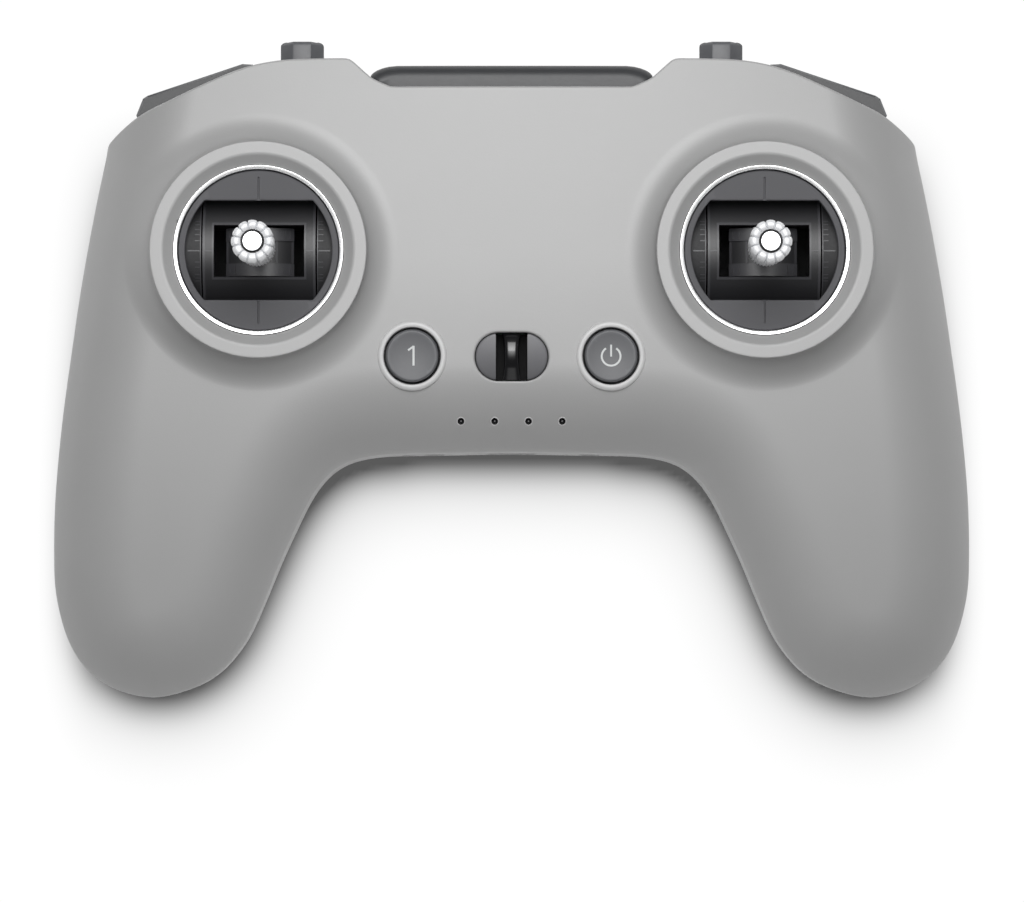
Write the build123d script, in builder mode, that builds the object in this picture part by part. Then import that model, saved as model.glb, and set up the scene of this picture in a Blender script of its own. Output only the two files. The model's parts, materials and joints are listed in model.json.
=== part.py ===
from build123d import *
import os
import numpy as np

# Gamepad-style radio transmitter controller. Millimetres, +Z out of the front face,
# +X to the right hand, +Y towards the antenna edge, z = 0 on the table under the back.

# ---------------------------------------------------------------- shared dimensions
WALL = 2.2
FACE_Z = 38.0                          # crown of the front face
PART_Z = 20.0                          # height of the parting line at the antenna end
GIMBAL_X, GIMBAL_Y, GIMBAL_Z = 44.7, 20.55, 25.5    # centre of the right gimbal
GIMBAL_BORE_R = 15.1
GIMBAL_SCREW_OFFSET = 13.2             # screw places from the gimbal centre, in x and y
FRAME_SIZE, FRAME_Z, FRAME_TOP_Z = 31.0, 10.8, 31.5
STICK_R = 1.6
STICK_FIT = 0.02                       # radial clearance of parts on the stick
BUTTON_X, BUTTON_Y, BUTTON_R = 17.6, 2.0, 4.65
LANYARD_Y, LANYARD_LENGTH, LANYARD_WIDTH = 1.85, 12.9, 8.4
LED_X, LED_Y, LED_R = (-9.0, -3.0, 3.0, 9.0), -9.45, 0.5
TOGGLE_X, TOGGLE_Y, TOGGLE_Z, TOGGLE_WIDTH = 37.55, 46.5, 26.2, 7.7
USB_Z = 16.8
BOARD_T = 1.2
MAIN_BOARD_Z, BUTTON_BOARD_Z = 17.5, 25.0           # undersides
MAIN_TOP_Z = MAIN_BOARD_Z + BOARD_T
BUTTON_TOP_Z = BUTTON_BOARD_Z + BOARD_T
# Right-hand (x, y) of screw places, each repeated on the left.
CASE_SCREWS = ((66.0, -38.0), (70.0, 8.0), (29.4, 43.5))
BUTTON_BOARD_POSTS = ((21.4, -6.6), (24.2, 6.5))
MAIN_BOARD_POSTS = ((22.5, -2.5), (22.5, 44.2))
SIDES = (("left", -1), ("right", 1))
BASE = (Align.CENTER, Align.CENTER, Align.MIN)

# Right half of the case outline as (x, y) points, in three runs.
# Antenna notch, from the middle of the antenna edge outwards.
NOTCH = [(0.0, 50.4), (21.3, 50.4), (24.7, 51.45), (28.6, 54.75), (29.4, 54.9)]
# Shoulder, from the notch to the outer corner.
TOP = [
    (29.4, 54.9), (35.0, 54.85), (41.0, 54.6), (46.0, 53.75), (50.2, 52.4), (55.0, 50.35),
    (60.8, 47.75), (66.8, 45.0), (72.7, 40.6),
]
# Flank, from the outer corner round the grip to the middle of the bottom edge.
SIDE = [
    (72.7, 40.6), (73.0, 38.4), (74.6, 30.8), (76.3, 21.75), (77.8, 12.8), (79.1, 3.75),
    (80.35, -5.25), (81.4, -14.2), (82.2, -23.2), (82.5, -30.5), (82.5, -37.8),
    (82.05, -41.5), (81.25, -45.1), (80.05, -48.75), (78.0, -52.4), (76.2, -54.3),
    (73.6, -56.3), (70.0, -57.9), (64.5, -58.85), (60.4, -58.0), (56.6, -56.7),
    (54.6, -55.7), (52.9, -54.5), (51.1, -52.9), (49.2, -50.5), (47.4, -47.9),
    (45.6, -44.1), (43.7, -39.6), (41.8, -34.9), (40.0, -30.9), (38.2, -27.1),
    (36.35, -23.3), (34.5, -20.5), (32.7, -18.5), (30.9, -17.1), (29.1, -16.3),
    (27.3, -15.75), (23.7, -15.2), (20.1, -15.0), (12.9, -14.9), (5.7, -14.75),
    (0.0, -14.7),
]
# Notch and outer corner of the cavity.
NOTCH_IN = [(0.0, 48.15), (24.0, 48.15), (29.5, 52.62), (30.0, 52.68)]
CORNER_IN = (70.55, 39.55)

pieces = {}


# ---------------------------------------------------------------- small helpers
def both(x, *rest):
    """The left and right copies of a place."""
    return [(-x, *rest), (x, *rest)]


def gimbal_screw_places(x, z):
    """The four screw places round the gimbal centred on x."""
    offset = GIMBAL_SCREW_OFFSET
    return [(x + a * offset, GIMBAL_Y + b * offset, z) for a in (-1, 1) for b in (-1, 1)]


def rod(radius, height, mode=Mode.ADD):
    """Add a cylinder standing on the current locations."""
    Cylinder(radius, height, align=BASE, mode=mode)


def bore(radius, height):
    rod(radius, height, Mode.SUBTRACT)


def block(length, width, height, mode=Mode.ADD):
    """Add a box standing on the current locations."""
    Box(length, width, height, align=BASE, mode=mode)


def facing_x(center, offset):
    """Plane looking along +X, offset from center."""
    return Plane(origin=center, x_dir=(0, 1, 0), z_dir=(1, 0, 0)).offset(offset)


def facing_y(center, offset):
    """Plane looking along +Y, offset from center."""
    return Plane(origin=center, x_dir=(-1, 0, 0), z_dir=(0, 1, 0)).offset(offset)


# ---------------------------------------------------------------- outline geometry
def smooth(points, steps=4):
    """Catmull-Rom curve through the points, with steps segments in each span."""
    pts = [np.array(point, float) for point in points]
    pts = [2 * pts[0] - pts[1]] + pts + [2 * pts[-1] - pts[-2]]
    out = []
    for i in range(1, len(pts) - 2):
        a, b, c, d = pts[i - 1:i + 3]
        for j in range(steps):
            t = j / steps
            square = (2 * a - 5 * b + 4 * c - d) * t * t
            cube = (3 * b - a - 3 * c + d) * t ** 3
            out.append(0.5 * (2 * b + (c - a) * t + square + cube))
    out.append(pts[-2])
    return np.array(out)


def mirrored(points):
    """Run of points that ends on the midline, carried on down its mirror image."""
    points = np.array(points, float)
    return np.vstack([points, points[::-1][1:] * [-1, 1]])


def inset(points, distance):
    """Points moved inwards, square to the run."""
    points = np.array(points, float)
    tangent = np.gradient(points, axis=0)
    tangent /= np.linalg.norm(tangent, axis=1)[:, None]
    return points + distance * np.stack([tangent[:, 1], -tangent[:, 0]], 1)


SIDE_LINE = mirrored(smooth(SIDE))
SIDE_EXT = np.vstack([[[67.0, 75.0]], SIDE_LINE, [[-67.0, 75.0]]])   # run on past the top
TOP_HALF = np.vstack([np.array(NOTCH[:-1]), smooth(TOP)])
TOP_LINE = np.vstack([TOP_HALF[::-1] * [-1, 1], TOP_HALF[1:]])
RING = np.vstack([SIDE_LINE, TOP_LINE[1:-1]])


def distance_to(x, y, line):
    """Shortest distance from each (x, y) to an open polyline."""
    points = np.stack([np.ravel(x), np.ravel(y)], 1).astype(float)
    best = np.full(len(points), 1e9)
    for start, end in zip(line[:-1], line[1:]):
        span = end - start
        t = np.clip(((points - start) @ span) / (span @ span), 0, 1)
        gap = points - (start + t[:, None] * span)
        best = np.minimum(best, np.hypot(gap[:, 0], gap[:, 1]))
    return best.reshape(np.shape(x))


def inside_sign(x, y, line):
    """+1 inside the closed polyline, -1 outside, by counting crossings."""
    flat_x, flat_y = np.ravel(x), np.ravel(y)
    hit = np.zeros(len(flat_x), bool)
    ring = np.vstack([line, line[:1]])
    for (x0, y0), (x1, y1) in zip(ring[:-1], ring[1:]):
        if y0 == y1:
            continue
        crosses = (y0 > flat_y) != (y1 > flat_y)
        hit ^= crosses & (flat_x < (x1 - x0) * (flat_y - y0) / (y1 - y0) + x0)
    return np.where(hit.reshape(np.shape(x)), 1, -1)


# ---------------------------------------------------------------- case surfaces
def blend(start, end, value):
    """Smooth step from 0 at start to 1 at end."""
    t = np.clip((value - start) / (end - start), 0, 1)
    return t * t * (3 - 2 * t)


def part_z(y):
    """Parting line, which drops towards the grips."""
    return PART_Z - 6.5 * blend(-5, -62, y)


def edge_ramp(distance, offset, reach):
    """0 beyond reach from the outline, 1 at offset from it, then levelling off."""
    t = np.maximum(1 - (distance - offset) / (reach - offset), 0)
    return np.where(t < 1, t, 1 + 0.3 * np.tanh((t - 1) / 0.3))


def front_z(x, y, offset=0.0):
    """Front surface, lowered by offset: a slight crown that rounds off at the flanks."""
    distance = distance_to(x, y, SIDE_EXT) * inside_sign(x, y, SIDE_EXT)
    middle = 1 - blend(24, 40, np.abs(x))
    crown = FACE_Z - 0.0008 * x * x - 0.0018 * np.maximum(0, 20 - y) ** 2
    drop = (crown - part_z(y)) * (0.82 - 0.32 * middle)
    ramp = edge_ramp(distance, offset, 13 + 4 * middle)
    return crown - offset - drop * ramp ** (2.5 - 0.8 * middle)


def rear_z(x, y, offset=0.0):
    """Rear surface, raised by offset: grips on the table, a raised bottom middle."""
    side = np.abs(x)
    distance = np.minimum(distance_to(x, y, SIDE_EXT), distance_to(x, y, TOP_LINE))
    distance = distance * inside_sign(x, y, RING)
    floor = 9.5 * (1 - blend(-1, 17, y)) * (1 - blend(28, 46, side) * (1 - blend(-38, -4, y)))
    middle = (1 - blend(24, 40, side)) * (1 - blend(0, 30, y))
    upper = blend(20, 45, y) * (1 - blend(60, 72, side))
    rise = (part_z(y) - floor) * (0.82 - 0.42 * middle - 0.45 * upper)
    return floor + offset + rise * edge_ramp(distance, offset, 13 - 5 * middle - 5 * upper) ** 2.5


def sheet(height):
    """Spline face through height(x, y), sampled on a grid wider than the case."""
    half = np.linspace(0, 87, 30)
    xs = np.concatenate([-half[::-1], half[1:]])
    ys = np.linspace(-63, 61, 43)
    gx, gy = np.meshgrid(xs, ys, indexing="ij")
    gz = height(gx, gy)
    rows = [
        [Vector(float(gx[i, j]), float(gy[i, j]), float(gz[i, j])) for j in range(len(ys))]
        for i in range(len(xs))
    ]
    return Face.make_surface_from_array_of_points(rows, tol=0.4, min_deg=3, max_deg=3)


TRIM_DEPTH = 60


def solid_above(height):
    return Solid.extrude(sheet(height), Vector(0, 0, TRIM_DEPTH))


def solid_below(height):
    lowered = sheet(height).moved(Location((0, 0, -TRIM_DEPTH)))
    return Solid.extrude(lowered, Vector(0, 0, TRIM_DEPTH))


def case_body(notch, top, side, above, below):
    """Prism on the outline given by its three runs, trimmed by the two surface solids."""
    with BuildPart() as body:
        with BuildSketch():
            with BuildLine():
                Polyline(*([(-x, y) for x, y in notch][::-1] + notch[1:]))
                Spline(*top)
                Spline(*side)
                Spline(*[(-x, y) for x, y in top][::-1])
            make_face()
        extrude(amount=45)
        add(above, mode=Mode.SUBTRACT)
        add(below, mode=Mode.SUBTRACT)
    return body.part


def points_of(array):
    return [tuple(point) for point in array]


OUTER_BODY = case_body(
    NOTCH,
    TOP,
    points_of(mirrored(SIDE)),
    solid_above(front_z),
    solid_below(lambda x, y: rear_z(x, y) - 0.3),
)
inner_top = [point for point in points_of(inset(TOP, WALL)[1:-1]) if 33 < point[0] < 69]
inner_side = [point for point in points_of(mirrored(inset(SIDE, WALL))) if point[1] < 38.0]
CAVITY = case_body(
    NOTCH_IN,
    [NOTCH_IN[-1]] + inner_top + [CORNER_IN],
    [CORNER_IN] + inner_side + [(-CORNER_IN[0], CORNER_IN[1])],
    solid_above(lambda x, y: front_z(x, y, WALL)),
    solid_below(lambda x, y: rear_z(x, y, WALL)),
)

# Everything under the parting line.
with BuildPart() as lower_half:
    with BuildSketch(Plane.YZ.offset(-95)):
        with BuildLine():
            Spline(*[(float(y), float(part_z(y))) for y in np.linspace(-70, 70, 29)])
            Polyline((70, float(part_z(70))), (70, -10), (-70, -10), (-70, float(part_z(-70))))
        make_face()
    extrude(amount=190)

# ---------------------------------------------------------------- shoulder frame
# Local axes on the right shoulder: u along the edge, n outwards from it, z up.
SHOULDER_X, SHOULDER_Y = 56.75, 52.02
ALONG_X, ALONG_Y = 0.948, -0.319       # direction of u
SHOULDER_Z0, SHOULDER_Z1 = 12.8, 27.2
SHOULDER_H = SHOULDER_Z1 - SHOULDER_Z0
SHOULDER_GAP = 0.06                    # clearance of the bezel in z
shoulder = Plane(
    origin=(SHOULDER_X, SHOULDER_Y, 0), x_dir=(ALONG_X, ALONG_Y, 0), z_dir=(0, 0, 1)
)
# (u, n) outlines of the bezel and of the opening that takes it.
BEZEL = [
    (-10.7, -0.67), (-9.0, 0.0), (9.0, 0.0), (9.9, -0.25), (12.0, -2.75), (11.4, -9.5),
    (-10.2, -9.5),
]
BEZEL_OPENING = [
    (-10.85, 3), (13.5, 3), (12.06, -2.75), (11.46, -9.56), (-10.26, -9.56), (-10.76, -0.67),
]


def facing_out(u, z, n):
    """Plane looking outwards from the right shoulder."""
    return Plane(
        origin=(SHOULDER_X + u * ALONG_X - n * ALONG_Y, SHOULDER_Y + u * ALONG_Y + n * ALONG_X, z),
        x_dir=(ALONG_X, ALONG_Y, 0),
        z_dir=(-ALONG_Y, ALONG_X, 0),
    )


with BuildPart() as shoulder_cut:
    with BuildSketch(shoulder.offset(SHOULDER_Z0 - SHOULDER_GAP)):
        with BuildLine():
            Polyline(*BEZEL_OPENING, close=True)
        make_face()
    extrude(amount=SHOULDER_H + 2 * SHOULDER_GAP)


def cut_shoulders():
    """Open both shoulders of the shell being built."""
    add(shoulder_cut.part, mode=Mode.SUBTRACT)
    add(shoulder_cut.part.mirror(Plane.YZ), mode=Mode.SUBTRACT)


# ---------------------------------------------------------------- shells
def hanging_posts(x, y, base_z, radius, hole_r, hole_depth, min_roof=None):
    """Pair of posts from base_z up into the front wall, each with a blind screw hole."""
    height = float(front_z(x, y, WALL)) + 0.8 - base_z
    if min_roof is not None:
        hole_depth = min(hole_depth, height - min_roof)
    with Locations(*both(x, y, base_z)):
        rod(radius, height)
        bore(hole_r, hole_depth)


with BuildPart() as front_shell:
    add(OUTER_BODY)
    add(CAVITY, mode=Mode.SUBTRACT)
    add(lower_half.part, mode=Mode.SUBTRACT)
    # gimbal bosses, revolved from a (radius, z) profile
    for _, sign in SIDES:
        boss_base = (sign * GIMBAL_X, GIMBAL_Y, 0)
        with BuildSketch(Plane(origin=boss_base, x_dir=(1, 0, 0), z_dir=(0, -1, 0))):
            with BuildLine():
                Polyline((GIMBAL_BORE_R, 33.0), (19.2, 33.0), (23.6, 33.2))
                Spline((23.6, 33.2), (22.2, 36.6), (20.0, 38.9), (19.25, 41.3))
                ThreePointArc((19.25, 41.3), (19.0, 41.8), (18.6, 42.0))
                Polyline(
                    (18.6, 42.0), (16.8, 42.0), (GIMBAL_BORE_R, 40.6), (GIMBAL_BORE_R, 33.0)
                )
            make_face()
        revolve(axis=Axis(boss_base, (0, 0, 1)))
    with Locations(*both(GIMBAL_X, GIMBAL_Y, 25)):
        bore(GIMBAL_BORE_R, 30)
    # gimbal frame posts
    with Locations(*[
        place for _, sign in SIDES for place in gimbal_screw_places(sign * GIMBAL_X, FRAME_TOP_Z)
    ]):
        rod(2.3, 3.0)
        bore(1.05, 4.2)
    # keep the gimbal bores clear of the posts
    with Locations(*both(GIMBAL_X, GIMBAL_Y, 25)):
        bore(GIMBAL_BORE_R, 12)
    # button bosses
    with Locations(*both(BUTTON_X, BUTTON_Y, 35.2)):
        rod(5.95, 3.0)
    with Locations(*both(BUTTON_X, BUTTON_Y, 30)):
        bore(5.04, 12)
    # lanyard opening
    with BuildSketch(Plane.XY.offset(28)):
        with Locations((0, LANYARD_Y)):
            SlotOverall(LANYARD_LENGTH + 0.1, LANYARD_WIDTH + 0.1)
    extrude(amount=14, mode=Mode.SUBTRACT)
    # LED holes
    with Locations(*[(x, LED_Y, 24) for x in LED_X]):
        bore(LED_R + 0.05, 14)
    # toggle slots
    with Locations(*both(TOGGLE_X, 54, TOGGLE_Z)):
        Box(TOGGLE_WIDTH + 0.5, 8, 11.4, mode=Mode.SUBTRACT)
    cut_shoulders()
    for x, y in CASE_SCREWS:
        hanging_posts(x, y, float(part_z(y)), 2.5, 1.1, 7.5, min_roof=1.6)
    for x, y in BUTTON_BOARD_POSTS:
        hanging_posts(x, y, BUTTON_TOP_Z, 1.7, 0.8, 3.0)
pieces["front_shell"] = front_shell.part

with BuildPart() as rear_shell:
    add(OUTER_BODY)
    add(CAVITY, mode=Mode.SUBTRACT)
    add(lower_half.part, mode=Mode.INTERSECT)
    cut_shoulders()
    # case screw posts, counterbored from behind
    for x, y in CASE_SCREWS:
        skin_z = float(rear_z(x, y))
        with Locations(*both(x, y, skin_z + 1.2)):
            rod(3.2, float(part_z(y)) - skin_z - 1.2)
        with Locations(*both(x, y, -1)):
            bore(2.2, skin_z + 5.0)
            bore(1.15, 30)
    # main board posts
    for x, y in MAIN_BOARD_POSTS:
        post_z = float(rear_z(x, y, WALL)) - 0.8
        with Locations(*both(x, y, post_z)):
            rod(1.8, MAIN_BOARD_Z - post_z)
        with Locations(*both(x, y, 12.9)):
            bore(0.85, 6)
    # USB opening
    with BuildSketch(Plane.XZ.offset(6.5)):
        with Locations((0, USB_Z)):
            SlotOverall(9.3, 3.6)
    extrude(amount=12, mode=Mode.SUBTRACT)
    # stick storage holes in the bottom edge
    with BuildSketch(Plane.XZ.offset(12.0)):
        with Locations(*both(14.0, USB_Z)):
            Circle(1.9)
    extrude(amount=6, mode=Mode.SUBTRACT)
    # flat of the table
    Box(200, 200, 10, mode=Mode.SUBTRACT, align=(Align.CENTER, Align.CENTER, Align.MAX))
pieces["rear_shell"] = rear_shell.part

# ---------------------------------------------------------------- antenna cover
with BuildPart() as antenna_cover:
    with BuildSketch(Plane.XY.offset(9.5)):
        with BuildLine():
            Polyline((-20.9, 50.5), (20.9, 50.5), (24.4, 51.6), (25.1, 52.2))
            Spline((25.1, 52.2), (24.0, 53.6), (20.5, 54.65), tangents=((-0.2, 1), (-1, 0)))
            Line((20.5, 54.65), (-20.5, 54.65))
            Spline((-20.5, 54.65), (-24.0, 53.6), (-25.1, 52.2), tangents=((-1, 0), (-0.2, -1)))
            Polyline((-25.1, 52.2), (-24.4, 51.6), (-20.9, 50.5))
        make_face()
    extrude(amount=25.0)
    long_edges = antenna_cover.edges().filter_by(GeomType.LINE).filter_by(Axis.X)
    chamfer(long_edges.sort_by(Axis.Y)[-2:], 1.4)
pieces["antenna_cover"] = antenna_cover.part

# ---------------------------------------------------------------- gimbals
DRUM_R, DRUM_HALF_W = 12.9, 10.0
CHEEK_HALF_W = 13.1
COVER_Z = 38.5                         # underside of the gimbal cover and trim ring
PIVOT_START, PIVOT_LENGTH = 9.6, 4.4   # yoke pivots, from the gimbal centre in x
MAGNET_START, MAGNET_T = 14.05, 1.3
KNOB_Z, KNOB_GRIP_H, KNOB_HEAD_H = 45.5, 12.0, 4.5


def gimbal_frame(x):
    """Square frame with a round collar, hollowed for the drum and its pivots."""
    center = (x, GIMBAL_Y, GIMBAL_Z)
    with BuildPart() as cheeks:
        with BuildSketch(facing_x(center, -CHEEK_HALF_W)):
            Circle(12.7)
        extrude(amount=2 * CHEEK_HALF_W)
        with Locations((x, GIMBAL_Y, 10.9)):
            rod(14.6, 40, Mode.INTERSECT)
    with BuildPart() as frame:
        with Locations((x, GIMBAL_Y, FRAME_Z)):
            block(FRAME_SIZE, FRAME_SIZE, FRAME_TOP_Z - FRAME_Z)
        with Locations((x, GIMBAL_Y, 20.0)):
            rod(14.9, 18.5)
            bore(13.7, 19.0)
        with Locations((x, GIMBAL_Y, FRAME_Z)):
            block(26.4, 26.4, 9.3)
        add(cheeks.part)
        with BuildSketch(facing_x(center, -10.25)):
            Circle(13.15)
        extrude(amount=20.5, mode=Mode.SUBTRACT)
        with BuildSketch(facing_x(center, -16)):
            Circle(2.05)
        extrude(amount=32, mode=Mode.SUBTRACT)
        with Locations(*gimbal_screw_places(x, 10)):
            bore(1.1, 25)
            bore(2.0, 3.0)
    return frame.part


def gimbal_cover(x):
    """Disc with a wide window for the stick."""
    with BuildPart() as cover:
        with Locations((x, GIMBAL_Y, COVER_Z)):
            rod(14.2, 1.5)
        with BuildSketch(Plane.XY.offset(38)):
            with Locations((x, GIMBAL_Y)):
                Circle(13.0)
                Rectangle(40, 17.6, mode=Mode.INTERSECT)
        extrude(amount=3, mode=Mode.SUBTRACT)
    return cover.part


def trim_ring(x):
    with BuildPart() as ring:
        with Locations((x, GIMBAL_Y, COVER_Z)):
            rod(GIMBAL_BORE_R - 0.08, 2.4)
            bore(14.25, 2.4)
        chamfer(ring.edges().filter_by(GeomType.CIRCLE).group_by(Axis.Z)[-1], 0.3)
    return ring.part


def gimbal_yoke(x):
    """Drum segment that turns about X, with end discs, pivots and two ribs."""
    center = (x, GIMBAL_Y, GIMBAL_Z)
    with BuildPart() as yoke:
        with BuildSketch(facing_x(center, -DRUM_HALF_W)):
            Circle(DRUM_R)
        extrude(amount=2 * DRUM_HALF_W)
        with BuildSketch(facing_x(center, -9.0)):
            Circle(10.8)
        extrude(amount=18.0, mode=Mode.SUBTRACT)
        # leave only the top of the drum
        with Locations((x, GIMBAL_Y, GIMBAL_Z + 4.5)):
            Box(40, 40, 40, align=(Align.CENTER, Align.CENTER, Align.MAX), mode=Mode.SUBTRACT)
        for end in (-1, 1):
            with BuildSketch(facing_x(center, end * 9.5 - 0.5)):
                Circle(6.0)
            extrude(amount=1.0)
            with Locations((x + end * 9.5, GIMBAL_Y, GIMBAL_Z + 3)):
                Box(1.0, 11.0, 5.0)
            pivot_start = PIVOT_START if end > 0 else -PIVOT_START - PIVOT_LENGTH
            with BuildSketch(facing_x(center, pivot_start)):
                Circle(2.0)
            extrude(amount=PIVOT_LENGTH)
            with Locations((x, GIMBAL_Y + end * 5.5, GIMBAL_Z - 2.6)):
                block(19.0, 1.4, 13.2)
        # stick slot and carrier pin hole
        with Locations((x, GIMBAL_Y, GIMBAL_Z + 6)):
            block(16.0, 9.2, 10, Mode.SUBTRACT)
        with BuildSketch(facing_y(center, -7)):
            Circle(1.0)
        extrude(amount=14, mode=Mode.SUBTRACT)
    return yoke.part


def gimbal_carrier(x):
    """Arc segment, hub and web that turn about Y and hold the stick."""
    with BuildPart() as carrier:
        with BuildSketch(facing_y((x, GIMBAL_Y, GIMBAL_Z), -4.3)):
            Circle(10.0)
            Circle(8.3, mode=Mode.SUBTRACT)
            Polygon((0, 0), (-14, 19.3), (14, 19.3), align=None, mode=Mode.INTERSECT)
            Circle(3.0)
            with Locations((0, 5)):
                Rectangle(4.4, 8.4)
            Circle(1.05, mode=Mode.SUBTRACT)
        extrude(amount=8.6)
        with Locations((x, GIMBAL_Y, GIMBAL_Z + 5.0)):
            bore(1.02, 10)
    return carrier.part


def carrier_pin(x):
    with BuildPart() as pin:
        with BuildSketch(facing_y((x, GIMBAL_Y, GIMBAL_Z), -6.2)):
            Circle(1.0)
        extrude(amount=12.4)
    return pin.part


def sensor_magnets(x):
    """A disc beyond each yoke pivot."""
    with BuildPart() as magnets:
        for start in (-MAGNET_START - MAGNET_T, MAGNET_START):
            with BuildSketch(facing_x((x, GIMBAL_Y, GIMBAL_Z), start)):
                Circle(1.9)
            extrude(amount=MAGNET_T)
    return magnets.part


def stick_shaft(x):
    with BuildPart() as shaft:
        with Locations((x, GIMBAL_Y, GIMBAL_Z + 5.2)):
            rod(1.0, 4.85)
        with Locations((x, GIMBAL_Y, GIMBAL_Z + 10.02)):
            rod(STICK_R, 19.0)
    return shaft.part


def stick_nut(x):
    with BuildPart() as nut:
        with BuildSketch(Plane.XY.offset(43.6)):
            with Locations((x, GIMBAL_Y)):
                RegularPolygon(2.9, 6)
                Circle(STICK_R + STICK_FIT, mode=Mode.SUBTRACT)
        extrude(amount=1.8)
    return nut.part


def stick_knob(x):
    """Fluted grip under a wider fluted head with a dished top."""
    with BuildPart() as knob:
        with BuildSketch(Plane.XY.offset(KNOB_Z)):
            with Locations((x, GIMBAL_Y)):
                Circle(3.3)
                with PolarLocations(3.55, 12):
                    Circle(0.42, mode=Mode.SUBTRACT)
        extrude(amount=KNOB_GRIP_H)
        with BuildSketch(Plane.XY.offset(KNOB_Z + KNOB_GRIP_H)):
            with Locations((x, GIMBAL_Y)):
                Circle(3.74)
                with PolarLocations(3.95, 12):
                    Circle(0.5, mode=Mode.SUBTRACT)
        extrude(amount=KNOB_HEAD_H)
        with Locations((x, GIMBAL_Y, 60.6)):
            bore(2.6, 3)
            rod(1.57, 1.4)
        with Locations((x, GIMBAL_Y, 45)):
            bore(STICK_R + STICK_FIT, 9.8)
    return knob.part


def hall_board(x):
    """Upright board on the outer side of the gimbal, with one chip."""
    outward = 1 if x > 0 else -1
    with BuildPart() as board:
        with Locations((x + outward * 16.2, GIMBAL_Y, 19.5)):
            block(BOARD_T, 15, 11.5)
        with Locations((x + outward * 17.3, GIMBAL_Y, 24)):
            block(1.0, 3, 3)
    return board.part


GIMBAL_PIECES = (
    gimbal_frame, gimbal_cover, trim_ring, gimbal_yoke, gimbal_carrier, carrier_pin,
    sensor_magnets, stick_shaft, stick_nut, stick_knob, hall_board,
)
for side, sign in SIDES:
    for make_piece in GIMBAL_PIECES:
        pieces[f"{make_piece.__name__}_{side}"] = make_piece(sign * GIMBAL_X)

with BuildPart() as gimbal_screws:
    with Locations(*[
        place for _, sign in SIDES for place in gimbal_screw_places(sign * GIMBAL_X, 11.2)
    ]):
        rod(1.9, 1.75)
        rod(1.0, 23.5)
pieces["gimbal_screws"] = gimbal_screws.part

# extension springs beside the gimbal frames, on the inner side
SPRING_R = 1.5
with BuildPart() as spring:
    with BuildLine():
        Helix(pitch=1.0, height=15, radius=SPRING_R)
    with BuildSketch(Plane(origin=(SPRING_R, 0, 0), x_dir=(1, 0, 0), z_dir=(0, 1, 0))):
        Circle(0.3)
    sweep(is_frenet=True)
spring_along_y = spring.part.rotate(Axis.X, -90)
with BuildPart() as return_springs:
    for place in both(26.9, GIMBAL_Y - 7, 27.5):
        add(spring_along_y.moved(Location(place)))
pieces["return_springs"] = return_springs.part

# ---------------------------------------------------------------- lanyard
BAR_WIDTH = 3.4
with BuildPart() as lanyard_insert:
    with BuildSketch(Plane.XY.offset(29.6)):
        with Locations((0, LANYARD_Y)):
            SlotOverall(LANYARD_LENGTH, LANYARD_WIDTH)
    extrude(amount=7.9)
    with BuildSketch(Plane.XY.offset(31.2)):
        with Locations((0, LANYARD_Y)):
            SlotOverall(LANYARD_LENGTH - 1.6, LANYARD_WIDTH - 1.6)
    extrude(amount=8, mode=Mode.SUBTRACT)
    with Locations((0, LANYARD_Y, 34.4)):
        block(BAR_WIDTH + 0.1, 12, 6, Mode.SUBTRACT)
pieces["lanyard_insert"] = lanyard_insert.part

with BuildPart() as lanyard_bar:
    with Locations((0, LANYARD_Y, 34.45)):
        block(BAR_WIDTH, 8.3, 3.2)
    fillet(lanyard_bar.edges().filter_by(Axis.Y).group_by(Axis.Z)[-1], 0.9)
pieces["lanyard_bar"] = lanyard_bar.part

# ---------------------------------------------------------------- buttons and LEDs
for name, x in (("custom_button", -BUTTON_X), ("power_button", BUTTON_X)):
    with BuildPart() as cap:
        with Locations((x, BUTTON_Y, 31.2)):
            rod(5.6, 1.2)
            rod(BUTTON_R, 7.0)
        chamfer(cap.edges().filter_by(GeomType.CIRCLE).group_by(Axis.Z)[-1], 0.45)
        with Locations((x, BUTTON_Y, 30.9)):
            rod(1.5, 0.4)
    pieces[name] = cap.part

with BuildPart() as button_board:
    with BuildSketch(Plane.XY.offset(BUTTON_BOARD_Z)):
        with Locations((0, -0.6)):
            RectangleRounded(52.0, 18.8, 1.0)
        with Locations(*[place for post in BUTTON_BOARD_POSTS for place in both(*post)]):
            Circle(1.0, mode=Mode.SUBTRACT)
    extrude(amount=BOARD_T)
pieces["button_board"] = button_board.part

# screws of the button board (from below) and the main board (from above)
with BuildPart() as board_screws:
    for sign in (-1, 1):
        with Locations(*[(sign * x, y, 23.8) for x, y in BUTTON_BOARD_POSTS]):
            rod(1.5, 1.2)
            rod(0.75, 4.8)
        with Locations(*[(sign * x, y, 13.6) for x, y in MAIN_BOARD_POSTS]):
            rod(0.8, 6.3)
        with Locations(*[(sign * x, y, MAIN_TOP_Z) for x, y in MAIN_BOARD_POSTS]):
            rod(1.6, 1.2)
pieces["board_screws"] = board_screws.part

with BuildPart() as tact_switches:
    with Locations(*both(BUTTON_X, BUTTON_Y, BUTTON_TOP_Z)):
        block(6.0, 6.0, 2.9)
        rod(1.7, 3.6)
pieces["tact_switches"] = tact_switches.part

PIPE_Z = 26.3
with BuildPart() as light_guide:
    with Locations((0, LED_Y, 26.25)):
        block(20.4, 1.8, 0.9)
    for x in LED_X:
        with Locations((x, LED_Y, PIPE_Z)):
            rod(LED_R, float(front_z(x, LED_Y)) - 0.35 - PIPE_Z)
pieces["led_light_guide"] = light_guide.part

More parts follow.
